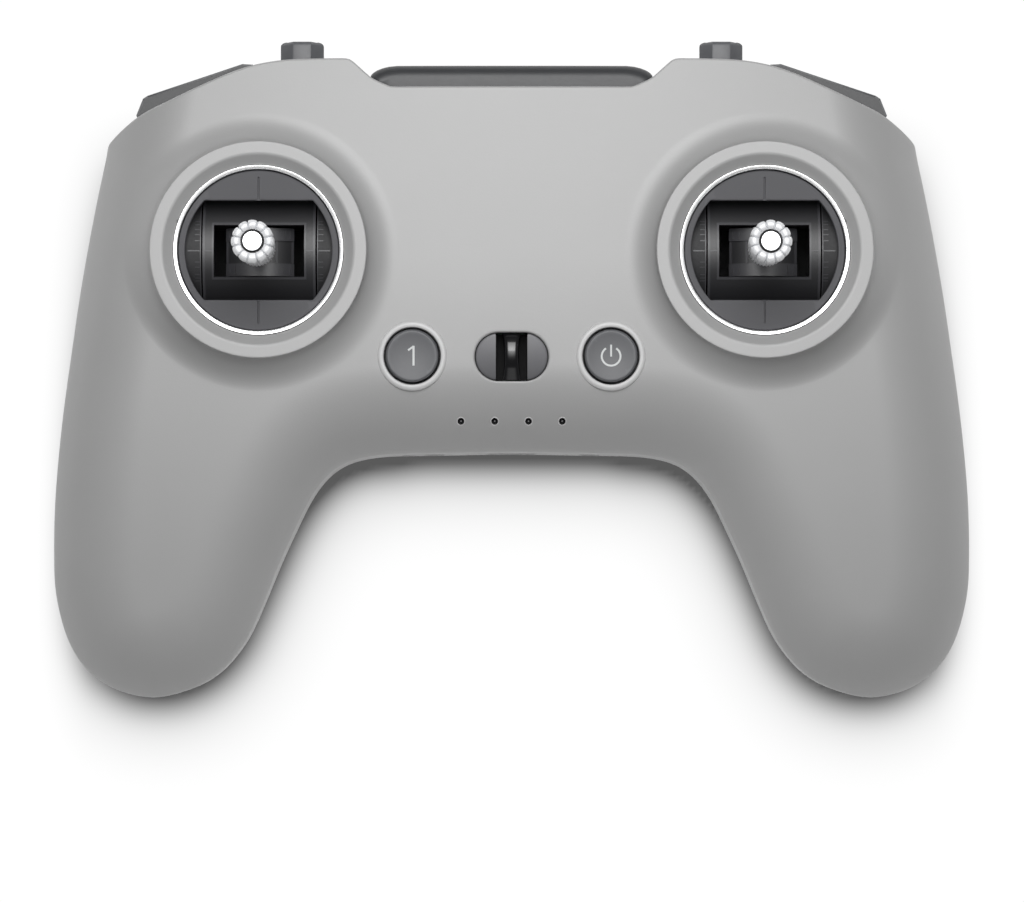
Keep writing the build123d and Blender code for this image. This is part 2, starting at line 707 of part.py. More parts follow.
# ---------------------------------------------------------------- main board
CAN_X, CAN_Y = 9, 26
BUZZER_X, BUZZER_Y = -14, 15
with BuildPart() as main_board:
    with BuildSketch(Plane.XY.offset(MAIN_BOARD_Z)):
        with Locations((0, 20.0)):
            RectangleRounded(53.0, 52.0, 1.5)
        with Locations(*[place for post in MAIN_BOARD_POSTS for place in both(*post)]):
            Circle(0.95, mode=Mode.SUBTRACT)
        # clearance round the case screw posts at the antenna end
        with Locations(*both(*CASE_SCREWS[2])):
            Circle(3.6, mode=Mode.SUBTRACT)
    extrude(amount=BOARD_T)
pieces["main_board"] = main_board.part

with BuildPart() as shield_can:
    with Locations((CAN_X, CAN_Y, MAIN_TOP_Z + 0.02)):
        block(24, 20, 2.4)
        block(23.4, 19.4, 2.2, Mode.SUBTRACT)
pieces["shield_can"] = shield_can.part

# x, y, then length, width and height
CHIPS = (
    (CAN_X, CAN_Y, 10, 10, 1.2),
    (-14, 30, 7, 7, 1.0),
    (-12, 4, 6, 5, 1.1),
    (14, 6, 5, 4, 1.3),
)
with BuildPart() as board_chips:
    for x, y, length, width, height in CHIPS:
        with Locations((x, y, MAIN_TOP_Z)):
            block(length, width, height)
pieces["board_chips"] = board_chips.part

with BuildPart() as buzzer:
    with Locations((BUZZER_X, BUZZER_Y, MAIN_TOP_Z)):
        rod(4.5, 2.5)
        bore(0.9, 3)
pieces["buzzer"] = buzzer.part

# ---------------------------------------------------------------- USB
with BuildPart() as usb_receptacle:
    with BuildSketch(Plane.XZ.offset(7.0)):
        with Locations((0, USB_Z)):
            SlotOverall(8.94, 3.2)
    extrude(amount=7.3)
    with BuildSketch(Plane.XZ.offset(8.6)):
        with Locations((0, USB_Z)):
            SlotOverall(8.34, 2.56)
    extrude(amount=7.3, mode=Mode.SUBTRACT)
    # contact tongue
    with Locations((0, -10.8, USB_Z)):
        Box(6.7, 4.6, 0.7)
pieces["usb_receptacle"] = usb_receptacle.part

with BuildPart() as usb_board:
    with Locations((0, -5.5, 13.9)):
        block(16, 8, BOARD_T)
pieces["usb_board"] = usb_board.part

# ---------------------------------------------------------------- battery and antennas
with BuildPart() as battery:
    with Locations((0, 28, 2.5)):
        block(50, 27, 9.6)
    fillet(battery.edges().filter_by(Axis.X), 1.6)
pieces["battery_pack"] = battery.part

CABLE_START, CABLE_DIR = (10.0, 41.55, 9.0), (0, 1, 0.1)
with BuildPart() as battery_cable:
    with BuildLine():
        Spline(
            CABLE_START, (10.3, 43.6, 10.6), (8.4, 43.6, 13.8), (7.0, 42.4, 16.9),
            tangents=(CABLE_DIR, (0, -0.2, 1)),
        )
    with BuildSketch(Plane(origin=CABLE_START, z_dir=CABLE_DIR)):
        Circle(0.7)
    sweep()
pieces["battery_cable"] = battery_cable.part

with BuildPart() as antenna_boards:
    with Locations(*both(13.5, 47.2, 21.5)):
        block(18, 1.0, 10.5)
pieces["antenna_boards"] = antenna_boards.part

COAX_RUN = ((9.0, 46.0, 23.0), (8.0, 44.0, 24.0), (6.0, 41.0, 22.0), (6.0, 39.5, 19.6))
with BuildPart() as coax:
    for sign in (-1, 1):
        with BuildLine(mode=Mode.PRIVATE) as run:
            Spline(*[(sign * x, y, z) for x, y, z in COAX_RUN])
        with BuildSketch(Plane(origin=run.line @ 0, z_dir=run.line % 0)):
            Circle(0.45)
        sweep(path=run.line)
pieces["antenna_coax"] = coax.part

# ---------------------------------------------------------------- case screws and plugs
with BuildPart() as case_screws:
    for x, y in CASE_SCREWS:
        skin_z = float(rear_z(x, y))
        with Locations(*both(x, y, skin_z + 2.2)):
            rod(2.1, 1.8)
            bore(0.9, 0.8)
        with Locations(*both(x, y, skin_z + 3.0)):
            rod(1.05, float(part_z(y)) + 5.6 - skin_z - 3.0)
pieces["case_screws"] = case_screws.part

# plugs over the screws in the grips
with BuildPart() as screw_plugs:
    with Locations(*both(*CASE_SCREWS[0], 0.15)):
        rod(2.15, 1.6)
pieces["screw_plugs"] = screw_plugs.part

# ---------------------------------------------------------------- toggles
for side, sign in SIDES:
    toggle_x = sign * TOGGLE_X
    hinge = (toggle_x, TOGGLE_Y, TOGGLE_Z)
    with BuildPart() as lever:
        with BuildSketch(facing_x(hinge, -TOGGLE_WIDTH / 2)):
            with BuildLine():
                Polyline(
                    (0, 2.6), (10.35, 2.3), (12.35, 1.2), (12.35, -1.2), (10.35, -2.3), (0, -2.6),
                    close=True,
                )
            make_face()
            Circle(3.0)
            Circle(1.05, mode=Mode.SUBTRACT)
        extrude(amount=TOGGLE_WIDTH)
        chamfer(lever.faces().sort_by(Axis.Y)[-1].edges().filter_by(Axis.Z), 1.0)
    pieces[f"toggle_lever_{side}"] = lever.part

    with BuildPart() as toggle_pin:
        with BuildSketch(facing_x(hinge, -5.0)):
            Circle(1.0)
        extrude(amount=10.0)
    pieces[f"toggle_pin_{side}"] = toggle_pin.part

    # back wall with a cheek on each side of the lever
    with BuildPart() as housing:
        with Locations((toggle_x, 38.7, 20.2)):
            block(9.9, 3.2, 12.0)
        for end in (-1, 1):
            with Locations((toggle_x + end * 4.5, 37.1, 20.2)):
                Box(0.9, 12.6, 11.2, align=(Align.CENTER, Align.MIN, Align.MIN))
        with BuildSketch(facing_x(hinge, -6)):
            Circle(1.0)
        extrude(amount=12, mode=Mode.SUBTRACT)
    pieces[f"toggle_housing_{side}"] = housing.part

# ---------------------------------------------------------------- shoulders
# Left-hand pieces are built on the right shoulder and mirrored.
DIAL_U, DIAL_N, DIAL_R = 3.0, -6.5, 5.5
PAUSE_U, CONTROL_Z = -6.4, 20.0        # pause button place, height of the shoulder buttons


def bezel_block():
    """Bezel with a recess along its outer face."""
    with BuildPart() as bezel:
        with BuildSketch(shoulder.offset(SHOULDER_Z0)):
            with BuildLine():
                Polyline(*BEZEL, close=True)
            make_face()
        extrude(amount=SHOULDER_H)
        with BuildSketch(shoulder.offset(SHOULDER_Z0 + 1.6)):
            with BuildLine():
                Polyline((-12, 3), (13, 3), (10.0, -1.5), (-9.6, -1.5), close=True)
            make_face()
        extrude(amount=SHOULDER_H - 3.2, mode=Mode.SUBTRACT)
    return bezel.part


with BuildPart() as bezel_left:
    add(bezel_block())
    with BuildSketch(shoulder.offset(16.5)):
        with Locations((DIAL_U, DIAL_N)):
            Circle(DIAL_R + 0.4)
        with Locations((DIAL_U, DIAL_N - 4)):
            Rectangle(7.0, 8.0)
    extrude(amount=7.0, mode=Mode.SUBTRACT)
    with BuildSketch(shoulder.offset(14.4)):
        with Locations((DIAL_U, DIAL_N)):
            Circle(1.05)
    extrude(amount=11.2, mode=Mode.SUBTRACT)
    with BuildSketch(facing_out(PAUSE_U, CONTROL_Z, -10)):
        Circle(2.45)
    extrude(amount=10, mode=Mode.SUBTRACT)
pieces["shoulder_bezel_left"] = bezel_left.part.mirror(Plane.YZ)

with BuildPart() as dial:
    with BuildSketch(shoulder.offset(16.9)):
        with Locations((DIAL_U, DIAL_N)):
            Circle(DIAL_R)
            with PolarLocations(DIAL_R + 0.15, 24):
                Circle(0.35, mode=Mode.SUBTRACT)
    extrude(amount=6.2)
    with BuildSketch(shoulder.offset(14.5)):
        with Locations((DIAL_U, DIAL_N)):
            Circle(1.0)
    extrude(amount=11.0)
pieces["gimbal_dial"] = dial.part.mirror(Plane.YZ)

with BuildPart() as pause_button:
    with BuildSketch(facing_out(PAUSE_U, CONTROL_Z, -7.0)):
        Circle(2.4)
    extrude(amount=6.2)
    chamfer(pause_button.edges().filter_by(GeomType.CIRCLE).sort_by(Axis.Y)[-1:], 0.4)
pieces["pause_button"] = pause_button.part.mirror(Plane.YZ)

with BuildPart() as pause_switch:
    with BuildSketch(facing_out(PAUSE_U, CONTROL_Z, -9.4)):
        Circle(2.2)
    extrude(amount=1.2)
pieces["pause_switch"] = pause_switch.part.mirror(Plane.YZ)

with BuildPart() as bezel_right:
    add(bezel_block())
    with BuildSketch(facing_out(0.0, CONTROL_Z, -10)):
        RectangleRounded(15.2, 8.6, 2.0)
    extrude(amount=10, mode=Mode.SUBTRACT)
pieces["shoulder_bezel_right"] = bezel_right.part

with BuildPart() as shutter:
    with BuildSketch(facing_out(0.0, CONTROL_Z, -6.8)):
        RectangleRounded(15.0, 8.4, 1.9)
    extrude(amount=6.2)
    outward = Axis((0, 0, 0), (-ALONG_Y, ALONG_X, 0))
    fillet(shutter.faces().sort_by(outward)[-1].edges(), 0.8)
pieces["shutter_button"] = shutter.part

with BuildPart() as shutter_switch:
    with BuildSketch(facing_out(0.0, CONTROL_Z, -9.4)):
        Rectangle(6.0, 6.0)
    extrude(amount=1.1)
pieces["shutter_switch"] = shutter_switch.part

# ---------------------------------------------------------------- export
os.makedirs("parts", exist_ok=True)
for name, part in pieces.items():
    part.label = name
    export_step(part, f"parts/{name}.step")
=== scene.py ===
"""Handheld controller with two gimbal sticks, with a white floor, lighting and a camera.

It lies on its back: +Z points out of the front face, +Y to the top edge and -X to the left side.
Shapes are worked out in millimetres; each mesh is turned into metres as it is made.
"""
import json
import math

import bmesh
import bpy
import numpy as np
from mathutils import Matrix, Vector, kdtree
from mathutils.geometry import delaunay_2d_cdt


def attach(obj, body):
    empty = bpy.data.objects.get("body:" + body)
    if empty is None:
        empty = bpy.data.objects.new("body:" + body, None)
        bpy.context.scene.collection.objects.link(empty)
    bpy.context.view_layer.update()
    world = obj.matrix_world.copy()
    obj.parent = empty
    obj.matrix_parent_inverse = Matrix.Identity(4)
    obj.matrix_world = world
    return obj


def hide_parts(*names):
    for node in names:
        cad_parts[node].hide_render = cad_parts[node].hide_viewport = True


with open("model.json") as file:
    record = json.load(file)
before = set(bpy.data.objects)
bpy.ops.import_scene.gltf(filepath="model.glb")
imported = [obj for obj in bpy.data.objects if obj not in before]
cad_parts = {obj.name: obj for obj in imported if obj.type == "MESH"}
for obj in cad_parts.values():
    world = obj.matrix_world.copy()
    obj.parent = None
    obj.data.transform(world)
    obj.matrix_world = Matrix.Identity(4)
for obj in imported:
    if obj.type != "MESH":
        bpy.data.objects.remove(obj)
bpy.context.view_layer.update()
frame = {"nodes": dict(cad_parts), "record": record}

# ------------------------------------------------------------------ driving dimensions
MM = 0.001
FACE_Z, PART_Z = 38.0, 20.0  # front face and the parting line between the shells
WALL = 2.2
GIMBAL_X, GIMBAL_Y, GIMBAL_AXIS_Z = 44.7, 20.55, 25.5
GIMBALS = ((-GIMBAL_X, GIMBAL_Y), (GIMBAL_X, GIMBAL_Y))
KEY_X, KEY_Y = 17.6, 2.0
KEYS = ((-KEY_X, KEY_Y), (KEY_X, KEY_Y))
KEY_HOLE_R = 5.04
LANYARD_Y = 1.85
LANYARD_W, LANYARD_H = 13.1, 8.6  # stadium hole in the front shell
DISH_W, DISH_H = 12.86, 8.36  # the dish that fills it
LIGHTS = [(x, -9.45) for x in (-9.0, -3.0, 3.0, 9.0)]
LIGHT_HOLE_R = 0.58
TOGGLE_X, TOGGLE_Y, TOGGLE_Z = 37.55, 46.5, 26.2
SCREWS = [(sign * x, y) for x, y in ((66.0, -38.0), (70.0, 8.0), (29.4, 43.5)) for sign in (-1, 1)]
SCREW_HOLE_R = 2.25
# shoulder opening: local frame on the right side, mirrored for the left
SHOULDER_ORIGIN, SHOULDER_DIR = (56.75, 52.02), (0.948, -0.319)
OPENING_BOTTOM, OPENING_TOP = 12.7, 27.3

# right half of the outline as x, y: top notch, top edge, then down the side and round the grip
NOTCH = [(0.0, 49.8), (21.5, 49.8), (24.8, 51.3), (28.6, 54.75)]
TOP = [
    (29.4, 54.9), (35.0, 54.85), (41.0, 54.6), (46.0, 53.75), (50.2, 52.4),
    (55.0, 50.35), (60.8, 47.75), (66.8, 45.0), (72.7, 40.6),
]
SIDE = [
    (72.7, 40.6), (73.0, 38.4), (74.6, 30.8), (76.3, 21.75), (77.8, 12.8), (79.1, 3.75),
    (80.35, -5.25), (81.4, -14.2), (82.2, -23.2), (82.5, -30.5), (82.5, -37.8), (82.05, -41.5),
    (81.25, -45.1), (80.05, -48.75), (78.0, -52.4), (76.2, -54.3), (73.6, -56.3), (70.0, -57.9),
    (64.5, -58.85), (60.4, -58.0), (56.6, -56.7), (54.6, -55.7), (52.9, -54.5), (51.1, -52.9),
    (49.2, -50.5), (47.4, -47.9), (45.6, -44.1), (43.7, -39.6), (41.8, -34.9), (40.0, -30.9),
    (38.2, -27.1), (36.35, -23.3), (34.5, -20.5), (32.7, -18.5), (30.9, -17.1), (29.1, -16.3),
    (27.3, -15.75), (23.7, -15.2), (20.1, -15.0), (12.9, -14.9), (5.7, -14.75), (0.0, -14.7),
]
FINE = 0.12  # spacing of the dense outline


# ------------------------------------------------------------------ curves
def catmull(points, steps=8):
    p = [np.array(q, float) for q in points]
    p = [2 * p[0] - p[1]] + p + [2 * p[-1] - p[-2]]
    out = []
    for i in range(1, len(p) - 2):
        a, b, c, d = p[i - 1:i + 3]
        for j in range(steps):
            t = j / steps
            out.append(0.5 * (2 * b + (c - a) * t + (2 * a - 5 * b + 4 * c - d) * t * t
                              + (3 * b - a - 3 * c + d) * t ** 3))
    out.append(p[-2])
    return np.array(out)


def arc_lengths(line):
    return np.r_[0, np.cumsum(np.hypot(*np.diff(line, axis=0).T))]


def resample(line, gap, closed):
    line = np.vstack([line, line[:1]]) if closed else line
    s = arc_lengths(line)
    count = max(3, int(round(s[-1] / gap)))
    at = np.linspace(0, s[-1], count + 1)
    out = np.stack([np.interp(at, s, line[:, 0]), np.interp(at, s, line[:, 1])], 1)
    return out[:-1] if closed else out


def soften(line, sigma, closed):
    """Gaussian smoothing; sigma is in steps along the line."""
    k = int(4 * sigma) + 1
    weights = np.exp(-0.5 * (np.arange(-k, k + 1) / sigma) ** 2)
    weights /= weights.sum()
    if closed:
        before, after = line[-k:], line[:k]
    else:
        before = 2 * line[0] - line[1:k + 1][::-1]
        after = 2 * line[-1] - line[-k - 1:-1][::-1]
    padded = np.vstack([before, line, after])
    return np.stack([np.convolve(padded[:, i], weights, "valid") for i in (0, 1)], 1)


def smoothstep(a, b, v):
    t = np.clip((v - a) / (b - a), 0, 1)
    return t * t * (3 - 2 * t)


def quarter(t):
    """Rises from 0 with a vertical tangent at t = 0 to 1 with a flat one at t = 1."""
    t = np.clip(t, 0, 1)
    return np.sqrt(np.maximum(1 - (1 - t) ** 2, 0))


def dense(points, sigma, closed):
    """Even spacing, lightly smoothed at the top and more strongly (1.7 mm) lower down."""
    even = resample(points, FINE, closed)
    crisp, calm = soften(even, sigma / FINE, closed), soften(even, 1.7 / FINE, closed)
    lower = smoothstep(34, 22, crisp[:, 1])[:, None]
    return crisp * (1 - lower) + calm * lower


class Curve:
    """A dense curve with outward normals and a signed distance, positive on the inside."""

    def __init__(self, points, closed):
        self.points = points
        if closed:
            along = np.roll(points, -1, 0) - np.roll(points, 1, 0)
        else:
            along = np.gradient(points, axis=0)
        along /= np.hypot(along[:, 0], along[:, 1])[:, None]
        self.normals = np.stack([-along[:, 1], along[:, 0]], 1)
        self.tree = kdtree.KDTree(len(points))
        for i, (x, y) in enumerate(points):
            self.tree.insert((x, y, 0), i)
        self.tree.balance()
        if self.query(0.0, 20.0)[0][0] < 0:  # a point well inside the body
            self.normals *= -1

    def query(self, x, y):
        """Signed distance and nearest point index for each x, y."""
        x, y = np.ravel(x).astype(float), np.ravel(y).astype(float)
        find = self.tree.find
        i = np.fromiter((find((a, b, 0.0))[1] for a, b in zip(x, y)), int, len(x))
        d = np.stack([x, y], 1) - self.points[i]
        along = -(d * self.normals[i]).sum(1)
        far = np.hypot(d[:, 0], d[:, 1])
        return np.where(far > np.abs(along) + 0.06, np.sign(along) * far, along), i


side_half = catmull(SIDE)
half = np.vstack([NOTCH, catmull(TOP)[:-1], side_half])
mirrored = half[::-1] * [-1, 1]
OUTLINE = Curve(dense(np.vstack([half, mirrored[1:-1]]), 0.55, True), True)
# the sides alone, carried on past the top edge so the round-over ignores it
side_line = np.vstack([
    [[67.9, 68.0]], side_half, (side_half[::-1] * [-1, 1])[1:], [[-67.9, 68.0]],
])
SIDES = Curve(dense(side_line, 0.9, False), False)


def averaged(values, reach=60):
    weights = np.hanning(2 * reach + 1)
    weights /= weights.sum()
    return np.convolve(np.pad(values, reach, mode="edge"), weights, "valid")


# along the sides: how far outside the round-over starts, its reach and its crisp edge radius
side_x, side_y = np.abs(SIDES.points[:, 0]), SIDES.points[:, 1]
inner_grip = np.where(side_y < -10, smoothstep(70, 46, side_x), 0.0)
EDGE_START = averaged(0.25 + 2.1 * inner_grip + 0.5 * smoothstep(30, 10, side_x) * (side_y < -10))
EDGE_REACH = averaged(15.0 + 0.5 * inner_grip)
EDGE_RADIUS = averaged(0.12 + 0.68 * inner_grip)


# ------------------------------------------------------------------ shell surfaces
def parting_z(y):
    """The parting line drops 6.5 towards the grips."""
    return PART_Z - 6.5 * smoothstep(-5, -62, y)


def face_z(x, y):
    return FACE_Z - 0.0008 * x * x - 0.0018 * np.maximum(0, 20 - y) ** 2


def front_base(x, y, inset=0.0):
    """Front face with its round-over; inset gives the inner skin."""
    from_side, i = SIDES.query(x, y)
    start, reach = EDGE_START[i], EDGE_REACH[i]
    low = parting_z(y)
    t = (from_side - inset + start) / (reach + start - inset)
    h = low + (face_z(x, y) - inset - low) * quarter(t)
    if inset == 0.0:
        from_edge, _ = OUTLINE.query(x, y)
        top = smoothstep(1.5, 4.0, from_side - np.abs(from_edge))
        radius = np.where(from_side > 20.0, 0.4, np.maximum(EDGE_RADIUS[i], 0.4 * top))
        q = np.clip(from_edge / radius, 0, 1)
        h = h - radius * (1 - np.sqrt(np.maximum(1 - (1 - q) ** 2, 0)))
    return h


# gimbal boss: radii from the outer foot to the top of the inner cone
FOOT_R, FLANK_R, LIP_R, FLAT_R, CONE_R = 24.8, 19.2, 18.95, 16.85, 16.65
BOSS_Z, LIP_Z = 42.0, 41.75


def boss(h, r):
    q = np.clip((r - FLANK_R) / 5.6, 0, 1)
    flank = h + (LIP_Z - h) * (1 - quarter(q))
    lip = LIP_Z + 0.25 * np.sqrt(np.clip(1 - ((r - LIP_R) / 0.25) ** 2, 0, 1))
    edge = BOSS_Z - 0.15 * np.clip((FLAT_R - r) / 0.2, 0, 1)
    cone = 41.85 - (CONE_R - r) * 0.8065
    return np.select([r >= FOOT_R, r >= FLANK_R, r >= LIP_R, r >= FLAT_R, r >= CONE_R],
                     [h, flank, lip, BOSS_Z, edge], cone)


def stadium_distance(x, y, width, height):
    """Distance outside a stadium centred on (0, LANYARD_Y)."""
    r = height / 2
    c = width / 2 - r
    return np.hypot(np.maximum(np.abs(x) - c, 0), y - LANYARD_Y) - r


def front_z(x, y):
    """The whole front skin: base, bosses and the rolled edges of the holes."""
    h = front_base(x, y)
    for cx, cy in GIMBALS:
        h = boss(h, np.hypot(x - cx, y - cy))
    for cx, cy in KEYS:
        h = h - 0.2 * (1 - quarter((np.hypot(x - cx, y - cy) - KEY_HOLE_R) / 0.2))
    h = h - 0.3 * (1 - quarter(stadium_distance(x, y, LANYARD_W, LANYARD_H) / 0.35))
    for cx, cy in LIGHTS:
        h = h - 0.14 * np.clip(1 - (np.hypot(x - cx, y - cy) - LIGHT_HOLE_R) / 0.22, 0, 1)
    return h


def back_base(x, y):
    """Flat back at 0, a raised middle 9.6 up between the grips, grip tips lifted 3.2."""
    outer = smoothstep(26, 46, np.abs(x))
    scoop = 1 - smoothstep(-2, 17, y)
    grip = outer * (1 - smoothstep(-36, -6, y))
    return 9.6 * scoop * (1 - grip) + 3.2 * outer * smoothstep(-42, -60, y)


def back_base_z(x, y, inset=0.0):
    from_edge, _ = OUTLINE.query(x, y)
    from_side, i = SIDES.query(x, y)
    low = parting_z(y)
    top = smoothstep(0.0, 6.0, from_side - np.abs(from_edge))
    middle = (EDGE_START[i] - 0.25) / 2.6 * smoothstep(45, 30, np.abs(x))
    reach = 14.5 * (1 - top) * (1 - 0.62 * middle) + 7.5 * top
    start = 0.2 + 2.0 * middle + 1.6 * top
    t = (from_edge - inset + start) / (reach + start - inset)
    return low - (low - (back_base(x, y) + inset)) * quarter(t)


def back_z(x, y):
    """The back skin with a small chamfer round each screw hole."""
    h = back_base_z(x, y)
    for cx, cy in SCREWS:
        h = h + 0.2 * np.clip(1 - (np.hypot(x - cx, y - cy) - SCREW_HOLE_R) / 0.25, 0, 1)
    return h


# ------------------------------------------------------------------ mesh helpers
def in_poly(points, ring):
    x, y = np.asarray(points).T
    hit = np.zeros(len(x), bool)
    for (x0, y0), (x1, y1) in zip(ring, np.roll(ring, -1, 0)):
        if y0 == y1:
            continue
        crosses = (y0 > y) != (y1 > y)
        hit ^= crosses & (x < (x1 - x0) * (y - y0) / (y1 - y0) + x0)
    return hit


def triangulate(loops, points):
    """Triangles between the first loop and the others, through the points; loop points first."""
    verts = [tuple(p) for loop in loops for p in loop] + [tuple(p) for p in points]
    edges, start = [], 0
    for loop in loops:
        n = len(loop)
        edges += [(start + i, start + (i + 1) % n) for i in range(n)]
        start += n
    v, _, faces, *_ = delaunay_2d_cdt([Vector(p) for p in verts], edges, [], 0, 1e-7)
    v = np.array([(p.x, p.y) for p in v])
    f = np.array([list(t) for t in faces if len(t) == 3])
    middles = v[f].mean(1)
    keep = in_poly(middles, np.array(loops[0]))
    for loop in loops[1:]:
        keep &= ~in_poly(middles, np.array(loop))
    f = f[keep]
    a = v[f[:, 1]] - v[f[:, 0]]
    b = v[f[:, 2]] - v[f[:, 0]]
    flip = a[:, 0] * b[:, 1] - a[:, 1] * b[:, 0] < 0
    f[flip] = f[flip][:, ::-1]
    return v, f


def circle(cx, cy, r, count):
    a = np.linspace(0, 2 * np.pi, count, endpoint=False)
    return np.stack([cx + r * np.cos(a), cy + r * np.sin(a)], 1)


def circles(centres, radii, count):
    return [circle(cx, cy, r, count) for cx, cy in centres for r in radii]


def stadium(width, height, gap=0.45):
    """Stadium loop centred on (0, LANYARD_Y)."""
    r = height / 2
    c = width / 2 - r
    a = np.linspace(-np.pi / 2, np.pi / 2, int(np.pi * r / gap))
    m = max(2, int(2 * c / gap))
    xs = np.linspace(-c, c, m, endpoint=False)[1:]
    bottom = np.stack([xs, np.full(m - 1, LANYARD_Y - r)], 1)
    right = np.stack([c + r * np.cos(a), LANYARD_Y + r * np.sin(a)], 1)
    half_turn = np.array([0, 2 * LANYARD_Y])
    return np.vstack([right, half_turn - bottom, half_turn - right, bottom])


def lattice(xs, ys):
    x, y = np.meshgrid(xs, ys)
    return np.column_stack([x.ravel(), y.ravel()])


def clear_of(points, centres, radius):
    for cx, cy in centres:
        points = points[np.hypot(points[:, 0] - cx, points[:, 1] - cy) > radius]
    return points


def clear_of_lanyard(points, gap):
    return points[stadium_distance(*points.T, LANYARD_W, LANYARD_H) > gap]


def link_object(name, data):
    made = bpy.data.objects.new(name, data)
    bpy.context.scene.collection.objects.link(made)
    return made


class Sheets:
    """Collects surface sheets with one normal per face corner, welded when built."""

    def __init__(self):
        self.verts, self.faces, self.normals, self.count = [], [], [], 0

    def add(self, verts, faces, normals=None, flip=False):
        """normals: one per vertex, or None for flat."""
        for face in faces:
            face = list(face)[::-1] if flip else list(face)
            self.faces.append([i + self.count for i in face])
            if normals is None:
                a, b, c = (verts[i] for i in face[:3])
                flat = np.cross(b - a, c - a)
                flat = flat / (np.linalg.norm(flat) + 1e-12)
                self.normals.append([flat] * len(face))
            else:
                self.normals.append([normals[i] for i in face])
        self.verts.append(verts)
        self.count += len(verts)

    def bridge(self, a, b, flip=False, normals=None):
        """Quads between two closed loops of equal length."""
        n = len(a)
        faces = [(i, (i + 1) % n, n + (i + 1) % n, n + i) for i in range(n)]
        if normals is not None:
            normals = np.vstack([normals, normals])
        self.add(np.vstack([a, b]), faces, normals, flip)

    def welded(self):
        """Points merged within 0.0001, and the (corners, normals) of every face left."""
        verts = np.vstack(self.verts)
        keys = np.round(verts / 1e-4).astype(np.int64)
        _, first, index = np.unique(keys, axis=0, return_index=True, return_inverse=True)
        index = np.ravel(index)
        kept = []
        for face, normals in zip(self.faces, self.normals):
            corners = [int(index[i]) for i in face]
            if len(set(corners)) < 3:
                continue
            keep = [i for i in range(len(corners)) if corners[i] != corners[i - 1]]
            kept.append(([corners[i] for i in keep], [tuple(normals[i]) for i in keep]))
        return verts[first], kept

    def build(self, name, material):
        points, kept = self.welded()
        bm = bmesh.new()
        bm_verts = [bm.verts.new(p) for p in points]
        made = []
        for corners, _ in kept:
            try:
                made.append(bm.faces.new([bm_verts[i] for i in corners]))
            except ValueError:  # welding can make two faces the same; the second is left out
                made.append(None)
        bm.normal_update()
        before = [None if face is None else face.normal.copy() for face in made]
        bmesh.ops.recalc_face_normals(bm, faces=bm.faces[:])
        if bm.calc_volume(signed=True) < 0:
            for face in bm.faces:
                face.normal_flip()
        bm.normal_update()
        faces, corner_normals = [], []
        for (corners, normals), face, old in zip(kept, made, before):
            if face is None:
                continue
            now = face.normal
            if now.dot(old) < 0:
                corners, normals = corners[::-1], normals[::-1]
            faces.append(corners)
            for n in normals:
                against = n[0] * now[0] + n[1] * now[1] + n[2] * now[2] < -0.05
                corner_normals.append(tuple(-c for c in n) if against else n)
        bm.free()
        mesh = bpy.data.meshes.new(name)
        mesh.from_pydata([tuple(p) for p in points * MM], [], faces)
        mesh.materials.append(material)
        for polygon in mesh.polygons:
            polygon.use_smooth = True
        mesh.normals_split_custom_set(corner_normals)
        return link_object(name, mesh)


# ------------------------------------------------------------------ shell rim loops
def loop_indices():
    """Outline points every 0.85 mm, or sooner where it turns 5 degrees."""
    angles = np.arctan2(OUTLINE.normals[:, 1], OUTLINE.normals[:, 0])
    turn = np.abs((np.diff(angles, append=angles[:1]) + np.pi) % (2 * np.pi) - np.pi)
    keep = [0]
    length = turned_by = 0.0
    for i in range(1, len(angles)):
        length += FINE
        turned_by += turn[i - 1]
        if length >= 0.85 or (turned_by >= math.radians(5) and length > 0.2):
            keep.append(i)
            length = turned_by = 0.0
    return keep


def inner_wall_loop():
    """The rim inset by the wall; points that crowd in corners collapse to one."""
    loop = RIM - WALL * RIM_N
    bad = OUTLINE.query(*loop.T)[0] < WALL - 0.05
    order = np.roll(np.arange(COUNT), -int(np.argmax(~bad)))
    run = []
    for j in [*order, order[0]]:
        if bad[j]:
            run.append(j)
        elif run:
            middle = (loop[(run[0] - 1) % COUNT] + loop[(run[-1] + 1) % COUNT]) / 2
            for i in run:
                loop[i] = middle
            run = []
    return loop


picked = loop_indices()
RIM, RIM_N = OUTLINE.points[picked], OUTLINE.normals[picked]
COUNT = len(RIM)
RIM_S = arc_lengths(np.vstack([RIM, RIM[:1]]))
RIM_PART_Z = parting_z(RIM[:, 1])
INNER = inner_wall_loop()
DISTINCT = np.hypot(*(INNER - np.roll(INNER, 1, 0)).T) > 1e-4
shoulder_x = RIM[:, 0] * np.sign(RIM[:, 0]) - SHOULDER_ORIGIN[0]
shoulder_y = RIM[:, 1] - SHOULDER_ORIGIN[1]
shoulder_u = shoulder_x * SHOULDER_DIR[0] + shoulder_y * SHOULDER_DIR[1]
shoulder_n = -shoulder_x * SHOULDER_DIR[1] + shoulder_y * SHOULDER_DIR[0]
IN_OPENING = ((shoulder_u > -10.7) & (shoulder_u < 12.1)
              & (shoulder_n > -5.0) & (shoulder_n < 0.5))


def parting_path(z_plain, z_open):
    """(rim index, z) once round the parting edge, stepping to z_open at the shoulder openings."""
    path = []
    for i in range(COUNT + 1):
        z = float(z_plain[i % COUNT])
        now, before = IN_OPENING[i % COUNT], IN_OPENING[(i - 1) % COUNT]
        if now and not before:
            path += [(i, z), (i, z_open)]
        elif before and not now:
            path += [(i, z_open), (i, z)]
        else:
            path.append((i, z_open if now else z))
    return path


def skin_path(z):
    return [(i, float(z[i % COUNT])) for i in range(COUNT + 1)]


